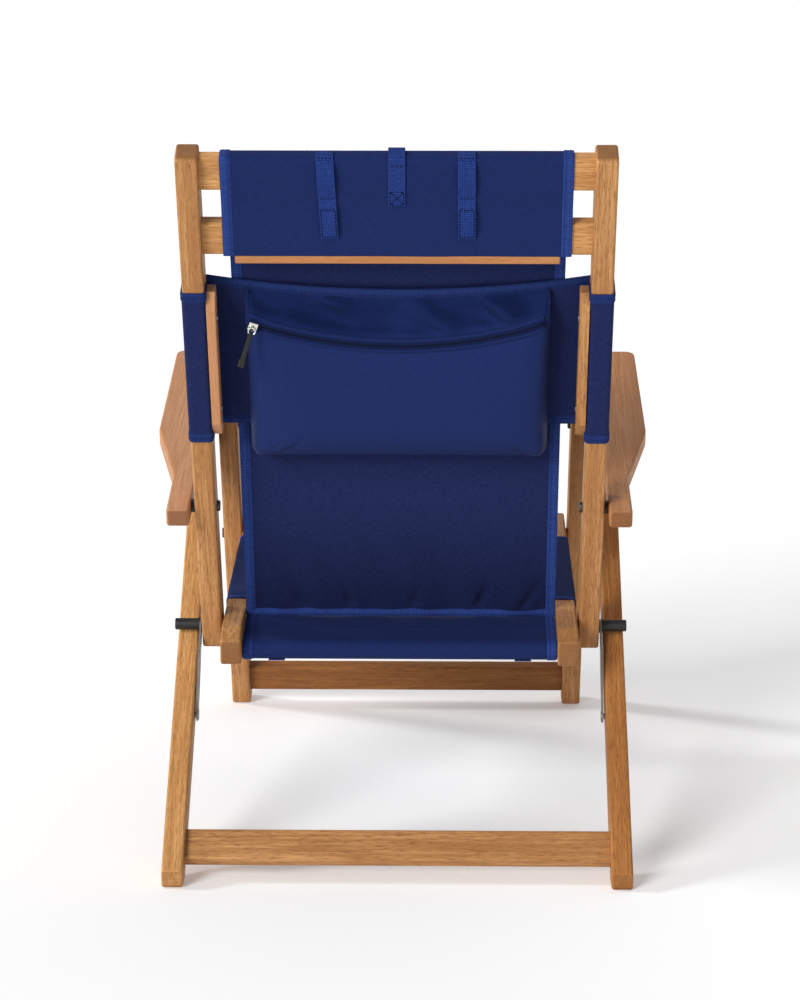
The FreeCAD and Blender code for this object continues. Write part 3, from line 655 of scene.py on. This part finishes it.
def faded(material, measure, low, high, at_low, at_high):
    """Scales a material's base colour from at_low to at_high while a measure goes from low to high."""
    tree = material.node_tree
    base = tree.nodes["Principled BSDF"].inputs["Base Color"]
    fade = ranged(tree, measure, low, high, at_low, at_high)
    fade.node.interpolation_type = "SMOOTHSTEP"
    toned = tree.nodes.new("ShaderNodeVectorMath")
    toned.operation = "SCALE"
    join(tree, base.links[0].from_socket, toned.inputs["Vector"])
    join(tree, fade, toned.inputs["Scale"])
    join(tree, toned.outputs["Vector"], base)


# Painted shade: the cloth's colour is darkened towards the seam, where it turns away from the light.
back_canvas = woven("back_canvas", (0.0170, 0.0262, 0.102), (0.0078, 0.0137, 0.0625), 900.0, 0.0, 0.0005)
faded(back_canvas, split_place(back_canvas, "UV")["Y"], sling_foot + 0.03, sling_foot + 0.20, 0.66, 1.0)
back_cloth = fresh_grid("back_cloth", 110, 120)
spread_grid(back_cloth, -sling_half, sling_half, sling_foot, sling_head, back_cloth_surface)
finished(back_cloth, back_canvas, "canvas", cloth)
back_tapes = side_tapes("back_side_tape_", back_cloth_surface, sling_half, sling_foot, sling_head, 120)
back_tapes.append(bound_edge("seat_seam_tape", back_cloth_surface,
                             lambda t: ((2 * t - 1) * sling_half, sling_foot), (0.0, 1.0), 110, seam_tape))
both_faces = (tape_lift, -tape_lift)
rows = side_rows(back_cloth_surface, sling_half, sling_foot + 0.01, sling_head, both_faces)
rows += [cross_row(back_cloth_surface, sling_half - 0.004, sling_foot + up, lift)
         for up in (0.0022, 0.0068) for lift in both_faces]
back_tapes.append(stitches("back_cloth_stitches", rows, thread_blue))
turning_start = back_cloth_surface(0.0, sling_foot)
turning_end = back_cloth_surface(0.0, sling_turn_end)
for piece in [back_cloth] + back_tapes:
    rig.blend(piece, "seat", "back", turning_start, turning_end)
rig.replaces(back_cloth, "back_sling")
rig.sheet(back_cloth, flat=(2 * sling_half, sling_head - sling_foot), held="hung",
         rests_on=["top_rail", "seat_rear_bar"], with_pieces=back_tapes)

# Seat cloth: navy canvas looped round both round bars, with the seat panel between them hanging in a shallow
# sag. Its sides run into sleeves that slide over the seat rails, each hemmed at both ends.
navy_canvas = woven("navy_canvas", (0.0118, 0.0250, 0.112), (0.0078, 0.0168, 0.079), 1100.0, 0.0, 0.0004)
rear_bar = (-0.074, -0.009)
front_bar = (0.352, 0.004)
loop_radius = 0.0129
seam_spot = (0.005, 0.0109)
seat_low = 0.0053


def on_seat(across, along, up):
    """A point of the seat, along the rails from the main pivot and up from the rails' middle."""
    return Vector((across,
                   main_pivot.y + along * math.cos(seat_tilt) - up * math.sin(seat_tilt),
                   main_pivot.z + along * math.sin(seat_tilt) + up * math.cos(seat_tilt)))


def arc(centre, radius, start, end, count):
    """Points round a centre from one angle to another, in degrees."""
    turns = [math.radians(start + (end - start) * step / count) for step in range(count + 1)]
    return [(centre[0] + radius * math.cos(turn), centre[1] + radius * math.sin(turn)) for turn in turns]


def measured(points):
    """The length of a run of points, and a function from a distance along it to the point there."""
    marks = [0.0]
    for before, after in zip(points, points[1:]):
        marks.append(marks[-1] + math.dist(before, after))

    def spot(distance):
        distance = min(max(distance, 0.0), marks[-1])
        index = 0
        while index < len(marks) - 2 and marks[index + 1] < distance:
            index += 1
        share = (distance - marks[index]) / (marks[index + 1] - marks[index])
        before, after = points[index], points[index + 1]
        return tuple(a + (b - a) * share for a, b in zip(before, after))

    return marks[-1], spot


def panel_line(share):
    """The middle line of the seat panel, from the seam to the top of the front bar's loop."""
    along = seam_spot[0] + share * (front_bar[0] - seam_spot[0])
    marks = ((0.0, seam_spot[1]), (0.5, seat_low), (1.0, front_bar[1] + loop_radius))
    return (along, through_three(marks, share))


seat_run = [(-0.048, -0.005)] + arc(rear_bar, loop_radius, -58, -264, 24)
seat_run += [(rear_bar[0] + 0.027, 0.0062), (rear_bar[0] + 0.054, 0.0086)]
seat_run += [panel_line(step / 30) for step in range(31)]
seat_run += arc(front_bar, loop_radius, 84, -118, 24)[1:] + [(0.326, 0.0)]
seat_length, seat_spot = measured(seat_run)
sleeve_start, sleeve_end = 0.045, 0.331
sleeve_inner, sleeve_outer = 0.2112, 0.2408
sleeve_half = 0.0228
loop_share = 0.06
seat_sag, seat_slack = 0.011, 0.0024


def smooth_step(low, high, value):
    t = min(max((value - low) / (high - low), 0.0), 1.0)
    return t * t * (3 - 2 * t)


def within(start, end, fade, value):
    """1 well inside this stretch and 0 at its ends, with a smooth fade this long."""
    return smooth_step(start, start + fade, value) * smooth_step(end, end - fade, value)


def seat_surface(x, t):
    along, up = seat_spot(t)
    share = x / sling_half
    on_top = smooth_step(-0.02, 0.08, along) * smooth_step(0.345, 0.30, along)
    top_side = 1.0 if up > 0.0 and loop_share < t < seat_length - loop_share else 0.0
    in_sleeve = within(sleeve_start, sleeve_end, 0.006, along)
    wide = sling_half + (sleeve_inner + 0.0004 - sling_half) * in_sleeve * top_side
    sag = seat_sag * on_top * top_side * (1 - min(abs(share), 1.0) ** 2.2)
    slack = seat_slack * smooth_step(0.05, 0.0, abs(along)) * top_side * ruffle(x * 16.0, along * 18.0, 5.2)
    return on_seat(share * wide, along, up - sag + slack)


seat_cloth = fresh_grid("seat_cloth", 90, 190)
spread_grid(seat_cloth, -sling_half, sling_half, 0.0, seat_length, seat_surface)
finished(seat_cloth, navy_canvas, "canvas", cloth)
seat_extras = side_tapes("seat_rear_tape_", seat_surface, sling_half, 0.0, 0.19, 70)
seat_extras += side_tapes("seat_front_tape_", seat_surface, sling_half, seat_length - 0.085, seat_length, 70)
rows = side_rows(seat_surface, sling_half, 0.012, 0.178, (tape_lift,))
rows += [cross_row(seat_surface, sling_half - tape_width, t, cloth_lift) for t in (0.104, seat_length - 0.064)]
seat_extras.append(stitches("seat_cloth_stitches", rows, thread_blue))
sleeve_corner = 0.0043
low_x, high_x = sleeve_inner + sleeve_corner, sleeve_outer - sleeve_corner
low_up, high_up = -sleeve_half + sleeve_corner, sleeve_half - sleeve_corner
sleeve_run = [(sleeve_inner, 0.0)]
for x, up, start in ((low_x, low_up, 180), (high_x, low_up, 270), (high_x, high_up, 0), (low_x, high_up, 90)):
    sleeve_run += arc((x, up), sleeve_corner, start, start + 90, 6)
sleeve_round, sleeve_spot = measured(sleeve_run + [(sleeve_inner, 0.0)])
hem_width, hem_half = 0.008, 0.0013
rail_sleeves = []
for side, label in sides:

    def sleeve_surface(around, along, side=side):
        x, up = sleeve_spot(around % sleeve_round)
        loose = 0.0008 + 0.0008 * ruffle(around * 30.0, along * 22.0, side * 3.0)
        loose *= within(sleeve_start + hem_width, sleeve_end - hem_width, 0.022, along)
        out = Vector((x - (low_x + high_x) / 2, up)).normalized() * loose
        return on_seat(side * (x + max(out.x, 0.0)), along, up + out.y)

    sleeve = fresh_grid("rail_sleeve_" + label, 64, 72)
    spread_grid(sleeve, 0.0, sleeve_round, sleeve_start, sleeve_end, sleeve_surface)
    welded(sleeve)
    rail_sleeves.append((finished(sleeve, navy_canvas, "canvas", cloth), "seat_rail_" + label))
    seat_extras.append(sleeve)
    for along, way, place in ((sleeve_start, 1.0, "rear"), (sleeve_end, -1.0, "front")):
        hem = bound_edge("sleeve_%s_hem_%s" % (place, label), sleeve_surface,
                         lambda t, along=along: (t * sleeve_round, along), (0.0, way), 64, hem_width,
                         half=hem_half)
        seat_extras.append(hem)
webbing_navy = woven("webbing_navy", (0.02, 0.036, 0.16), (0.012, 0.022, 0.10), 700.0, diagonal, 0.0006)
bar_tab_half, bar_tab_across, bar_tab_thick = 0.011, 0.166, 0.0016
bar_tab_length, bar_tab_spot = measured(arc(rear_bar, loop_radius + bar_tab_thick, -25, -115, 14))
for side, label in sides:

    def tab_surface(x, t, side=side):
        along, up = bar_tab_spot(t)
        return on_seat(side * bar_tab_across + x, along, up - bar_tab_thick / 2)

    tab = fresh_grid("bar_tab_" + label, 8, 16)
    spread_grid(tab, -bar_tab_half, bar_tab_half, 0.0, bar_tab_length, tab_surface)
    seat_extras.append(finished(tab, webbing_navy, "webbing", bar_tab_thick))
for piece in [seat_cloth] + seat_extras:
    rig.ride(piece, "seat")
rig.replaces(seat_cloth, "seat_sling")
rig.sheet(seat_cloth, flat=(2 * sling_half, seat_length), held="hung",
         rests_on=["seat_rear_bar", "seat_front_bar"], with_pieces=seat_extras)
for sleeve, rail in rail_sleeves:
    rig.sheet(sleeve, flat=(sleeve_round, sleeve_end - sleeve_start), held="stretched", rests_on=[rail])

# Head flap: navy canvas folded over the top rail, its rear half hanging over both rails with taped sides.
# Its lower edge stops at the retaining slat, and its front edge is sewn down over the head of the back sling.
flap_half = 0.216
flap_rear, flap_front, flap_top, flap_low = -0.0104, 0.0236, 0.7430, 0.6035
flap_lap = 0.015
flap_bend = 0.0045
between_rails = 0.672


def softened(corners, radius, count=6):
    """A run of points through corners, each inner corner turned into an arc of this radius."""
    run = [corners[0]]
    for before, corner, after in zip(corners, corners[1:], corners[2:]):
        here = Vector(corner)
        back = (Vector(before) - here).normalized()
        on = (Vector(after) - here).normalized()
        half = back.angle(on) / 2
        reach = radius / math.tan(half)
        centre = here + (back + on).normalized() * (radius / math.sin(half))
        start = here + back * reach - centre
        end = here + on * reach - centre
        for step in range(count + 1):
            run.append(tuple(centre + (start.lerp(end, step / count)).normalized() * radius))
    return run + [corners[-1]]


flap_run = softened([(flap_rear, flap_low), (flap_rear, flap_top), (-flap_rear, flap_top),
                     (flap_front, flap_low), (flap_front + 0.0026, flap_low - flap_lap)], flap_bend)
flap_length, flap_spot = measured(flap_run)


def flap_surface(x, t):
    ahead, up = flap_spot(t)
    ease = smooth_step(0.0, 0.04, t) * smooth_step(0.128, 0.09, t)
    hollow = 0.0016 * math.exp(-((up - between_rails) / 0.02) ** 2) * ease
    drape = 0.0016 * (1 - smooth_step(0.02, 0.10, t)) * (0.5 + 0.5 * ruffle(x * 13.0, 0.8, 4.0))
    crease = 0.0007 * ruffle(x * 22.0, up * 25.0, 9.0) * ease
    return on_back(x, ahead + hollow - drape + crease, up)


head_flap_cloth = fresh_grid("head_flap_cloth", 100, 110)
spread_grid(head_flap_cloth, -flap_half, flap_half, 0.0, flap_length, flap_surface)
finished(head_flap_cloth, navy_canvas, "canvas", cloth)
flap_extras = side_tapes("flap_tape_", flap_surface, flap_half, 0.0, flap_length, 120)
rows = side_rows(flap_surface, flap_half, 0.0, flap_length, (tape_lift,))
rows += [cross_row(flap_surface, flap_half - tape_width, flap_length - inset, cloth_lift)
         for inset in (0.003, 0.011)]
flap_extras.append(stitches("flap_edge_stitches", rows, thread_blue))

# Webbing on the flap: two strips of blue webbing sewn down at both ends and between, and a short middle tab
# that comes over the top and ends in a boxed cross of stitching.
thread_dark = woven("thread_dark", (0.0045, 0.0085, 0.038), (0.003, 0.006, 0.028), 2000.0, 0.0, 0.0002)
webbing_blue = woven("webbing_blue", (0.021, 0.048, 0.220), (0.0085, 0.0205, 0.105), 520.0, diagonal, 0.0007,
                     0.35)
strip_half, strip_long, strip_thick = 0.011, 0.1245, 0.0016
strip_across, strip_foot = 0.086, 0.0262
strip_edge = strip_half - 0.002
strip_sewn = (0.003, 0.042, 0.0575, 0.112)
webbing_lift = 0.0011
rows = []
for (side, label), skew in zip(sides, (0.0025, 0.0004)):

    def strip_surface(x, t, place=side * strip_across, skew=skew):
        bow = 0.0042 * abs(math.sin(math.pi * t / strip_sewn[2])) * smooth_step(0.118, 0.10, t)
        return lifted(flap_surface, place + x + skew * (1 - t / 0.06), strip_foot + t, 0.0018 + bow)

    strip = fresh_grid("webbing_strip_" + label, 12, 64)
    spread_grid(strip, -strip_half, strip_half, 0.0, strip_long, strip_surface)
    flap_extras.append(finished(strip, webbing_blue, "webbing", strip_thick))
    rows += [cross_row(strip_surface, strip_edge, t, webbing_lift) for t in strip_sewn]
    rows += [(strip_surface, (x, strip_sewn[0]), (x, strip_sewn[1]), webbing_lift)
             for x in (-strip_edge, strip_edge)]
tab_half, tab_long, tab_foot = 0.0105, 0.094, 0.0725
tab_bulge = 0.079


def tab_over(x, t):
    bulge = 0.0022 * math.exp(-((t - tab_bulge) / 0.012) ** 2)
    return lifted(flap_surface, x, tab_foot + t, 0.0019 + bulge)


middle_tab = fresh_grid("webbing_middle_tab", 12, 56)
spread_grid(middle_tab, -tab_half, tab_half, 0.0, tab_long, tab_over)
flap_extras.append(finished(middle_tab, webbing_blue, "webbing", strip_thick))
box, box_low, box_high, top_row = tab_half - 0.0022, 0.002, 0.021, 0.058
corners = ((-box, box_low), (box, box_low), (-box, box_high), (box, box_high))
for start, end in ((0, 1), (2, 3), (0, 2), (1, 3), (0, 3), (1, 2)):
    rows.append((tab_over, corners[start], corners[end], webbing_lift))
rows.append(cross_row(tab_over, box, top_row, webbing_lift))
flap_extras.append(stitches("flap_stitches", rows, thread_dark, 0.0007))
for piece in [head_flap_cloth] + flap_extras:
    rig.ride(piece, "back")
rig.replaces(head_flap_cloth, "head_flap")
for piece in flap_extras:
    if piece.name.startswith("webbing_strip"):
        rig.replaces(piece, "webbing_strips")
    if piece.name == "webbing_middle_tab":
        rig.replaces(piece, "webbing_tab")
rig.sheet(head_flap_cloth, flat=(2 * flap_half, flap_length), held="folded",
         rests_on=["top_rail", "second_rail"], with_pieces=flap_extras)

# Lumbar band: a strip of navy canvas across the front of the uprights, wrapped round their outsides and backs
# to the clamp battens inside. Both edges are taped, and the upper one droops where the pocket hangs from it.
sling_canvas = woven("sling_canvas", (0.0170, 0.0255, 0.098), (0.0078, 0.0133, 0.060), 900.0, 0.0, 0.0005)
band_blue = woven("band_blue", (0.0165, 0.034, 0.142), (0.008, 0.018, 0.084), 560.0, diagonal, 0.0006, 0.3)
band_inner, band_outer = 0.2423, 0.2717
band_rear, band_front, band_tuck = -0.0222, 0.0222, 0.0045
band_low, band_high = 0.325, 0.553
band_droop, band_bend = 0.019, 0.0042
upright_inside = 0.243
half_run = [(-band_inner, band_tuck), (-band_inner, band_rear), (-band_outer, band_rear),
            (-band_outer, band_front)]
band_run = softened(half_run + [(-x, ahead) for x, ahead in reversed(half_run)], band_bend)
band_length, band_spot = measured(band_run)


def hung_share(x, s):
    """How much of its full droop the band has here: most at the middle of its upper edge."""
    share = min(abs(x) / upright_inside, 1.0)
    return (1 - share ** 2) * smooth_step(band_low, band_high, s)


def hem_drop(x, s):
    """How far the band hangs down between the uprights."""
    return band_droop * hung_share(x, s)


def band_surface(t, s):
    x, ahead = band_spot(t)
    between = 1.0 if ahead > 0.0 and abs(x) < upright_inside else 0.0
    share = min(abs(x) / upright_inside, 1.0)
    hung = 0.004 * hung_share(x, s) * between
    ripple = 0.0008 * ruffle(x * 14.0, s * 16.0, 7.7) * (1 - share ** 8) * between
    return on_back(x, ahead - hung - abs(ripple), s - hem_drop(x, s) * between)


band_cloth = fresh_grid("band_cloth", 300, 56)
spread_grid(band_cloth, 0.0, band_length, band_low, band_high, band_surface)
finished(band_cloth, sling_canvas, "canvas", cloth)
band_extras = []
rows = []
for s, way, label in ((band_high, -1.0, "upper"), (band_low, 1.0, "lower")):
    band_extras.append(bound_edge("band_tape_" + label, band_surface,
                                  lambda t, s=s: (t * band_length, s), (0.0, way), 300, tape_cloth=band_blue))
    rows += [(band_surface, (0.03, s + way * inset), (band_length - 0.03, s + way * inset), lift)
             for inset in tape_rows for lift in both_faces]
band_extras.append(stitches("band_stitches", rows, thread_blue))
for piece in [band_cloth] + band_extras:
    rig.ride(piece, "back")
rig.replaces(band_cloth, "lumbar_band")
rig.sheet(band_cloth, flat=(band_length, band_high - band_low), held="stretched",
         rests_on=["back_upright_left", "back_upright_right"], with_pieces=band_extras)

# Pocket: a soft zipped bag of the same canvas, sewn along its upper edge under the band's hem. A light filling
# pushes the cloth out and it settles under its own weight, held at its seams and along the zip. The loose folds
# above the zip are laid in afterwards.
pocket_half = 0.196
pocket_low, pocket_high = 0.281, 0.546
pocket_front, pocket_rear = 0.0190, -0.0165
pocket_columns, pocket_rows = 98, 62
zip_low = 0.471
zip_half = 0.189
zip_sag = 0.034
zip_radius = (zip_half ** 2 + zip_sag ** 2) / (2 * zip_sag)


def zip_height(x):
    """How high up the back the zip's arc runs here."""
    return zip_low + zip_radius - math.sqrt(zip_radius ** 2 - min(abs(x), zip_half) ** 2)


def pocket_head(x):
    """How high up the back the pocket's upper edge is sewn here."""
    return pocket_high - hem_drop(x, band_high)


def pocket_shape(x, s):
    """The bag's rear face as it is sewn: flat across, rounded to the sides and foot, sloping to the hem."""
    side = (1 - min(abs(x) / pocket_half, 1.0) ** 24) ** 0.4
    rise = smooth_step(pocket_head(x), zip_height(x) - 0.004, s)
    foot = 1 - (1 - min(max((s - pocket_low) / 0.026, 0.0), 1.0)) ** 2
    return pocket_front + (pocket_rear - pocket_front) * side * rise * math.sqrt(max(foot, 0.0))


def bag_face(rear):
    """The surface of the bag's rear face, or of its flat front."""
    corner = 0.016

    def surface(x, s):
        share = (s - pocket_low) / (pocket_high - pocket_low)
        tuck = 0.0
        over = abs(x) - (pocket_half - corner)
        if over > 0:
            tuck = (corner - math.sqrt(max(corner ** 2 - over ** 2, 0.0))) * 0.55
        up = pocket_low + tuck + share * (pocket_head(x) - pocket_low - tuck)
        return on_back(x, pocket_shape(x, up) if rear else pocket_front, up)
    return surface


pocket = fresh_grid("pocket", pocket_columns, pocket_rows)
spread_grid(pocket, -pocket_half, pocket_half, pocket_low, pocket_high, bag_face(True))
lining = fresh_grid("pocket_lining", pocket_columns, pocket_rows)
spread_grid(lining, -pocket_half, pocket_half, pocket_low, pocket_high, bag_face(False))
chosen(pocket)
lining.select_set(True)
bpy.ops.object.join()
welded(pocket, gap=1e-5)


def back_place(point):
    """The place of a point in the back's own lengths: across, ahead and up."""
    y, z = point.y - main_pivot.y, point.z - main_pivot.z
    ahead = y * math.cos(recline) + z * math.sin(recline)
    return (point.x, ahead, -y * math.sin(recline) + z * math.cos(recline))


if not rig.quick():
    sewn = pocket.vertex_groups.new(name="sewn")
    for vertex in pocket.data.vertices:
        x, ahead, up = back_place(vertex.co)
        near_zip = smooth_step(0.014, 0.006, abs(up - zip_height(x))) if ahead < 0.0 else 0.0
        hold = 1.0 if ahead > pocket_front - 0.001 else near_zip
        if hold > 0:
            sewn.add([vertex.index], hold, "REPLACE")
    rest_place = [vertex.co.copy() for vertex in pocket.data.vertices]
    filling = pocket.modifiers.new("filling", "CLOTH")
    settings = filling.settings
    settings.quality = 6
    settings.mass = 0.12
    settings.tension_stiffness = 20
    settings.compression_stiffness = 20
    settings.shear_stiffness = 8
    settings.bending_stiffness = 2.5
    settings.shrink_min = 0.0
    settings.use_pressure = True
    settings.uniform_pressure_force = 1.2
    settings.vertex_group_mass = "sewn"
    settings.effector_weights.gravity = 0.6
    filling.collision_settings.use_collision = False
    last_step = 26
    filling.point_cache.frame_start = 1
    filling.point_cache.frame_end = last_step
    for step in range(1, last_step + 1):
        bpy.context.scene.frame_set(step)
    bpy.ops.object.modifier_apply(modifier="filling")
    bpy.context.scene.frame_set(1)
    most = 0.013
    for vertex, place in zip(pocket.data.vertices, rest_place):
        moved = vertex.co - place
        if moved.length > most:
            vertex.co = place + moved.normalized() * most
    pocket.vertex_groups.clear()
fold_deep, fold_limit = 0.034, 0.0130
fold_slant = (0.906, 0.423)


def slack_fold(x, s):
    """How far the loose cloth between the zip and the hem is drawn in or out, in slanting folds."""
    head, foot = pocket_head(x), zip_height(x)
    above = smooth_step(foot + 0.007, foot + 0.020, s) * smooth_step(head - 0.001, head - 0.011, s)
    along = fold_slant[0] * x - fold_slant[1] * s
    across = fold_slant[1] * x + fold_slant[0] * s
    ridge = ruffle(along * 13.0, across * 36.0, 1.3) - 0.06
    return -fold_deep * above * ridge * (1 - min(abs(x) / pocket_half, 1.0) ** 12)


for vertex in pocket.data.vertices:
    x, ahead, up = back_place(vertex.co)
    if ahead < pocket_front - 0.002:
        fold = slack_fold(x, up)
        room = max(fold_limit - ahead, 0.0001)
        if fold > 0:
            fold = room * (1 - math.exp(-fold / room))
        vertex.co = on_back(x, ahead + fold, up)


def height_above_zip(material):
    """How far up a place on the pocket lies from the zip's arc, in metres, as a socket of this material."""
    tree = material.node_tree
    middle = on_back(0.0, pocket_rear, zip_height(0.0)).z
    rise = (on_back(0.0, pocket_rear, zip_height(zip_half)).z - middle) / zip_half ** 2
    parts = split_place(material, "Object")
    square = reckoned(tree, "MULTIPLY", parts["X"], parts["X"])
    return reckoned(tree, "SUBTRACT", parts["Z"], reckoned(tree, "MULTIPLY_ADD", square, rise, middle))


# The pocket's cloth has a blue sheen. Its colour is painted darker above the zip, as painted shade where the cloth
# hangs slack.
pocket_canvas = woven("pocket_canvas", (0.0128, 0.0248, 0.106), (0.0084, 0.0165, 0.074), 1100.0, 0.0, 0.0003)
set_values(pocket_canvas.node_tree.nodes["Principled BSDF"],
           {"Roughness": 0.58, "Specular IOR Level": 0.26, "Specular Tint": (0.13, 0.24, 1.0, 1.0)})
faded(pocket_canvas, height_above_zip(pocket_canvas), 0.004, 0.022, 1.0, 0.62)
finished(pocket, pocket_canvas, "canvas", 0.0, 1)
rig.ride(pocket, "back")
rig.replaces(pocket, "pocket_bag")
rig.padded(pocket, fill=0.4)

# Zip: two woven tapes and a row of dark moulded teeth in an arc across the pocket, sunk between two rolled
# welts of canvas. A thin seam at each end runs up to the pocket's upper edge. All of it is sewn to the pocket.
pocket_skin = BVHTree.FromObject(pocket, bpy.context.evaluated_depsgraph_get())
rearward = on_back(0.0, -1.0, 0.0) - on_back(0.0, 0.0, 0.0)


def on_pocket(x, up):
    """The spot on the pocket's rear face behind this place."""
    far = on_back(x, -0.15, up)
    hit = pocket_skin.ray_cast(far, -rearward)
    return hit[0] if hit[0] else on_back(x, pocket_rear, up)


def along_pocket(spot):
    """The pocket's rear face along a run of spots, as a surface of the way along it and the way beside it."""
    def surface(t, s):
        x, up = spot(t)
        before, after = spot(t - 0.001), spot(t + 0.001)
        along = Vector((after[0] - before[0], after[1] - before[1])).normalized()
        return on_pocket(x - along.y * s, up + along.x * s)
    return surface


def zip_arc(pace, off=0.0):
    """The zip's arc as points this many millimetres apart, or a line this far above it."""
    return [(x / 1000.0, zip_height(x / 1000.0) + off) for x in range(-188, 189, pace)]


zip_length, zip_spot = measured(zip_arc(4))
zip_surface = along_pocket(zip_spot)
zip_extras = []
zip_navy = woven("zip_navy", (0.0068, 0.0135, 0.062), (0.0042, 0.0085, 0.040), 800.0, diagonal, 0.0004)
teeth_edge, zip_tape_edge = 0.0009, 0.0065
for low, high, label in ((-zip_tape_edge, -teeth_edge, "lower"), (teeth_edge, zip_tape_edge, "upper")):
    strip = fresh_grid("zip_tape_" + label, 170, 5)
    spread_grid(strip, 0.0, zip_length, low, high, lambda t, s: lifted(zip_surface, t, s, 0.0006))
    zip_extras.append(finished(strip, zip_navy, "webbing", 0.0009))
welt_off, welt_roll, seam_roll = 0.0066, 0.0024, 0.0014
seam_across, seam_low, seam_high = 0.1912, zip_height(zip_half) - 0.010, pocket_high - 0.005
welts = [("lower", zip_arc(6, -welt_off), welt_roll), ("upper", zip_arc(6, welt_off), welt_roll)]
welts += [(label, [(side * seam_across, seam_low), (side * seam_across, seam_high)], seam_roll)
          for side, label in sides]
for label, run, roll in welts:
    welt_length, welt_spot = measured(run)
    welt = fresh_grid("zip_welt_" + label, 4 + int(welt_length / 0.0018), 10)
    welt_surface = along_pocket(welt_spot)

    def rolled(t, turn, roll=roll, surface=welt_surface):
        angle = turn * math.tau
        return lifted(surface, t, roll * math.cos(angle), 0.0005 + roll * math.sin(angle))

    spread_grid(welt, 0.0, welt_length, 0.0, 1.0, rolled)
    welded(welt, capped=True)
    zip_extras.append(finished(welt, navy_canvas, "canvas"))
tooth_black = handled("tooth_black", (0.004, 0.007, 0.026), 0.0, 0.5, 0.08)
tooth_black.node_tree.nodes["Principled BSDF"].inputs["Specular IOR Level"].default_value = 0.12
bpy.ops.object.select_all(action="DESELECT")
bpy.ops.mesh.primitive_cube_add(size=1.0)
tooth = bpy.context.object
bevel = tooth.modifiers.new("bevel", "BEVEL")
bevel.width = 0.18
bevel.segments = 1
bpy.ops.object.modifier_apply(modifier=bevel.name)
tooth_points = [vertex.co.copy() for vertex in tooth.data.vertices]
tooth_faces = [tuple(face.vertices) for face in tooth.data.polygons]
bpy.data.objects.remove(tooth)
tooth_pitch, tooth_aside, tooth_lift = 0.0026, 0.0007, 0.0010
tooth_long, tooth_wide, tooth_high = 0.0015, 0.0016, 0.0011
points, faces = [], []
for number in range(int(zip_length / tooth_pitch)):
    for side, _ in sides:
        t = (number + 0.5 + 0.25 * side) * tooth_pitch
        middle = lifted(zip_surface, t, side * tooth_aside, tooth_lift)
        along = (lifted(zip_surface, t + 0.001, side * tooth_aside, tooth_lift) - middle).normalized()
        up = (lifted(zip_surface, t, side * tooth_aside, 2 * tooth_lift) - middle).normalized()
        aside = along.cross(up)
        first = len(points)
        points += [middle + along * point.x * tooth_long + aside * point.y * tooth_wide
                   + up * point.z * tooth_high for point in tooth_points]
        faces += [tuple(first + corner for corner in face) for face in tooth_faces]
teeth = drawn("zip_teeth", points, faces)
zip_extras.append(finished(teeth, tooth_black, "black_plastic"))
for piece in zip_extras:
    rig.ride(piece, "back")
    if piece.name.startswith("zip_tape"):
        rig.replaces(piece, "zipper_tape")

# Floor, light and camera: a wide white floor under a soft white sky, a broad lamp on the chair's back, one from
# the left that throws the shadow to the right, and a soft fill from the front. A long lens a little above the
# chair looks slightly down.
bpy.ops.object.select_all(action="DESELECT")
bpy.ops.mesh.primitive_plane_add(size=120.0, location=(0.0, 30.0, -0.0005))
floor = bpy.context.object
floor.name = "floor"
floor_white, _, paint = new_material("floor_white")
set_values(paint, {"Base Color": (0.93, 0.93, 0.93, 1.0), "Roughness": 0.9, "Specular IOR Level": 0.1,
                   "Emission Color": (1.0, 1.0, 1.0, 1.0), "Emission Strength": 0.17})
floor.data.materials.append(floor_white)
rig.stage(floor)

sky = bpy.data.worlds.new("studio")
bpy.context.scene.world = sky
sky.use_nodes = True
glow = sky.node_tree.nodes["Background"]
glow.inputs["Color"].default_value = (1.0, 1.0, 1.0, 1.0)
seen = sky.node_tree.nodes.new("ShaderNodeLightPath")
sky_light, sky_seen = 0.25, 0.97
level = ranged(sky.node_tree, seen.outputs["Is Camera Ray"], 0.0, 1.0, sky_light, sky_seen)
join(sky.node_tree, level, glow.inputs["Strength"])


def lamp(name, toward, angle, strength):
    """A far soft light that shines this way."""
    bpy.ops.object.light_add(type="SUN", location=(0.0, 0.0, 3.0))
    light = bpy.context.object
    light.name = name
    light.data.angle = math.radians(angle)
    light.data.energy = strength
    light.rotation_euler = Vector(toward).to_track_quat("-Z", "Y").to_euler()


lamp("rear", (0.7, 1.0, -0.55), 26.0, 2.7)
lamp("side", (1.0, -0.16, -0.62), 10.0, 1.15)
lamp("fill", (-0.25, -1.0, -0.55), 90.0, 0.9)

focal_pixels = 3003.0
photo_height = 1000.0
film_height = 36.0
lens_pitch, lens_yaw = math.radians(13.0), math.radians(0.92)
eye = bpy.data.cameras.new("eye")
camera = bpy.data.objects.new("eye", eye)
bpy.context.scene.collection.objects.link(camera)
eye.sensor_fit = "VERTICAL"
eye.sensor_height = film_height
eye.lens = film_height * focal_pixels / photo_height
eye.clip_end = 200.0
camera.location = (0.063, main_pivot.y - 3.972, 1.365)
camera.rotation_euler = (math.pi / 2 - lens_pitch, 0.0, lens_yaw)
bpy.context.scene.camera = camera
bpy.context.scene.view_settings.view_transform = "Standard"

low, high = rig.bounds()
with open("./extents.json", "w") as sizes:
    json.dump({"cad": [list(cad_low), list(cad_high)], "visual": [list(low), list(high)]}, sizes)
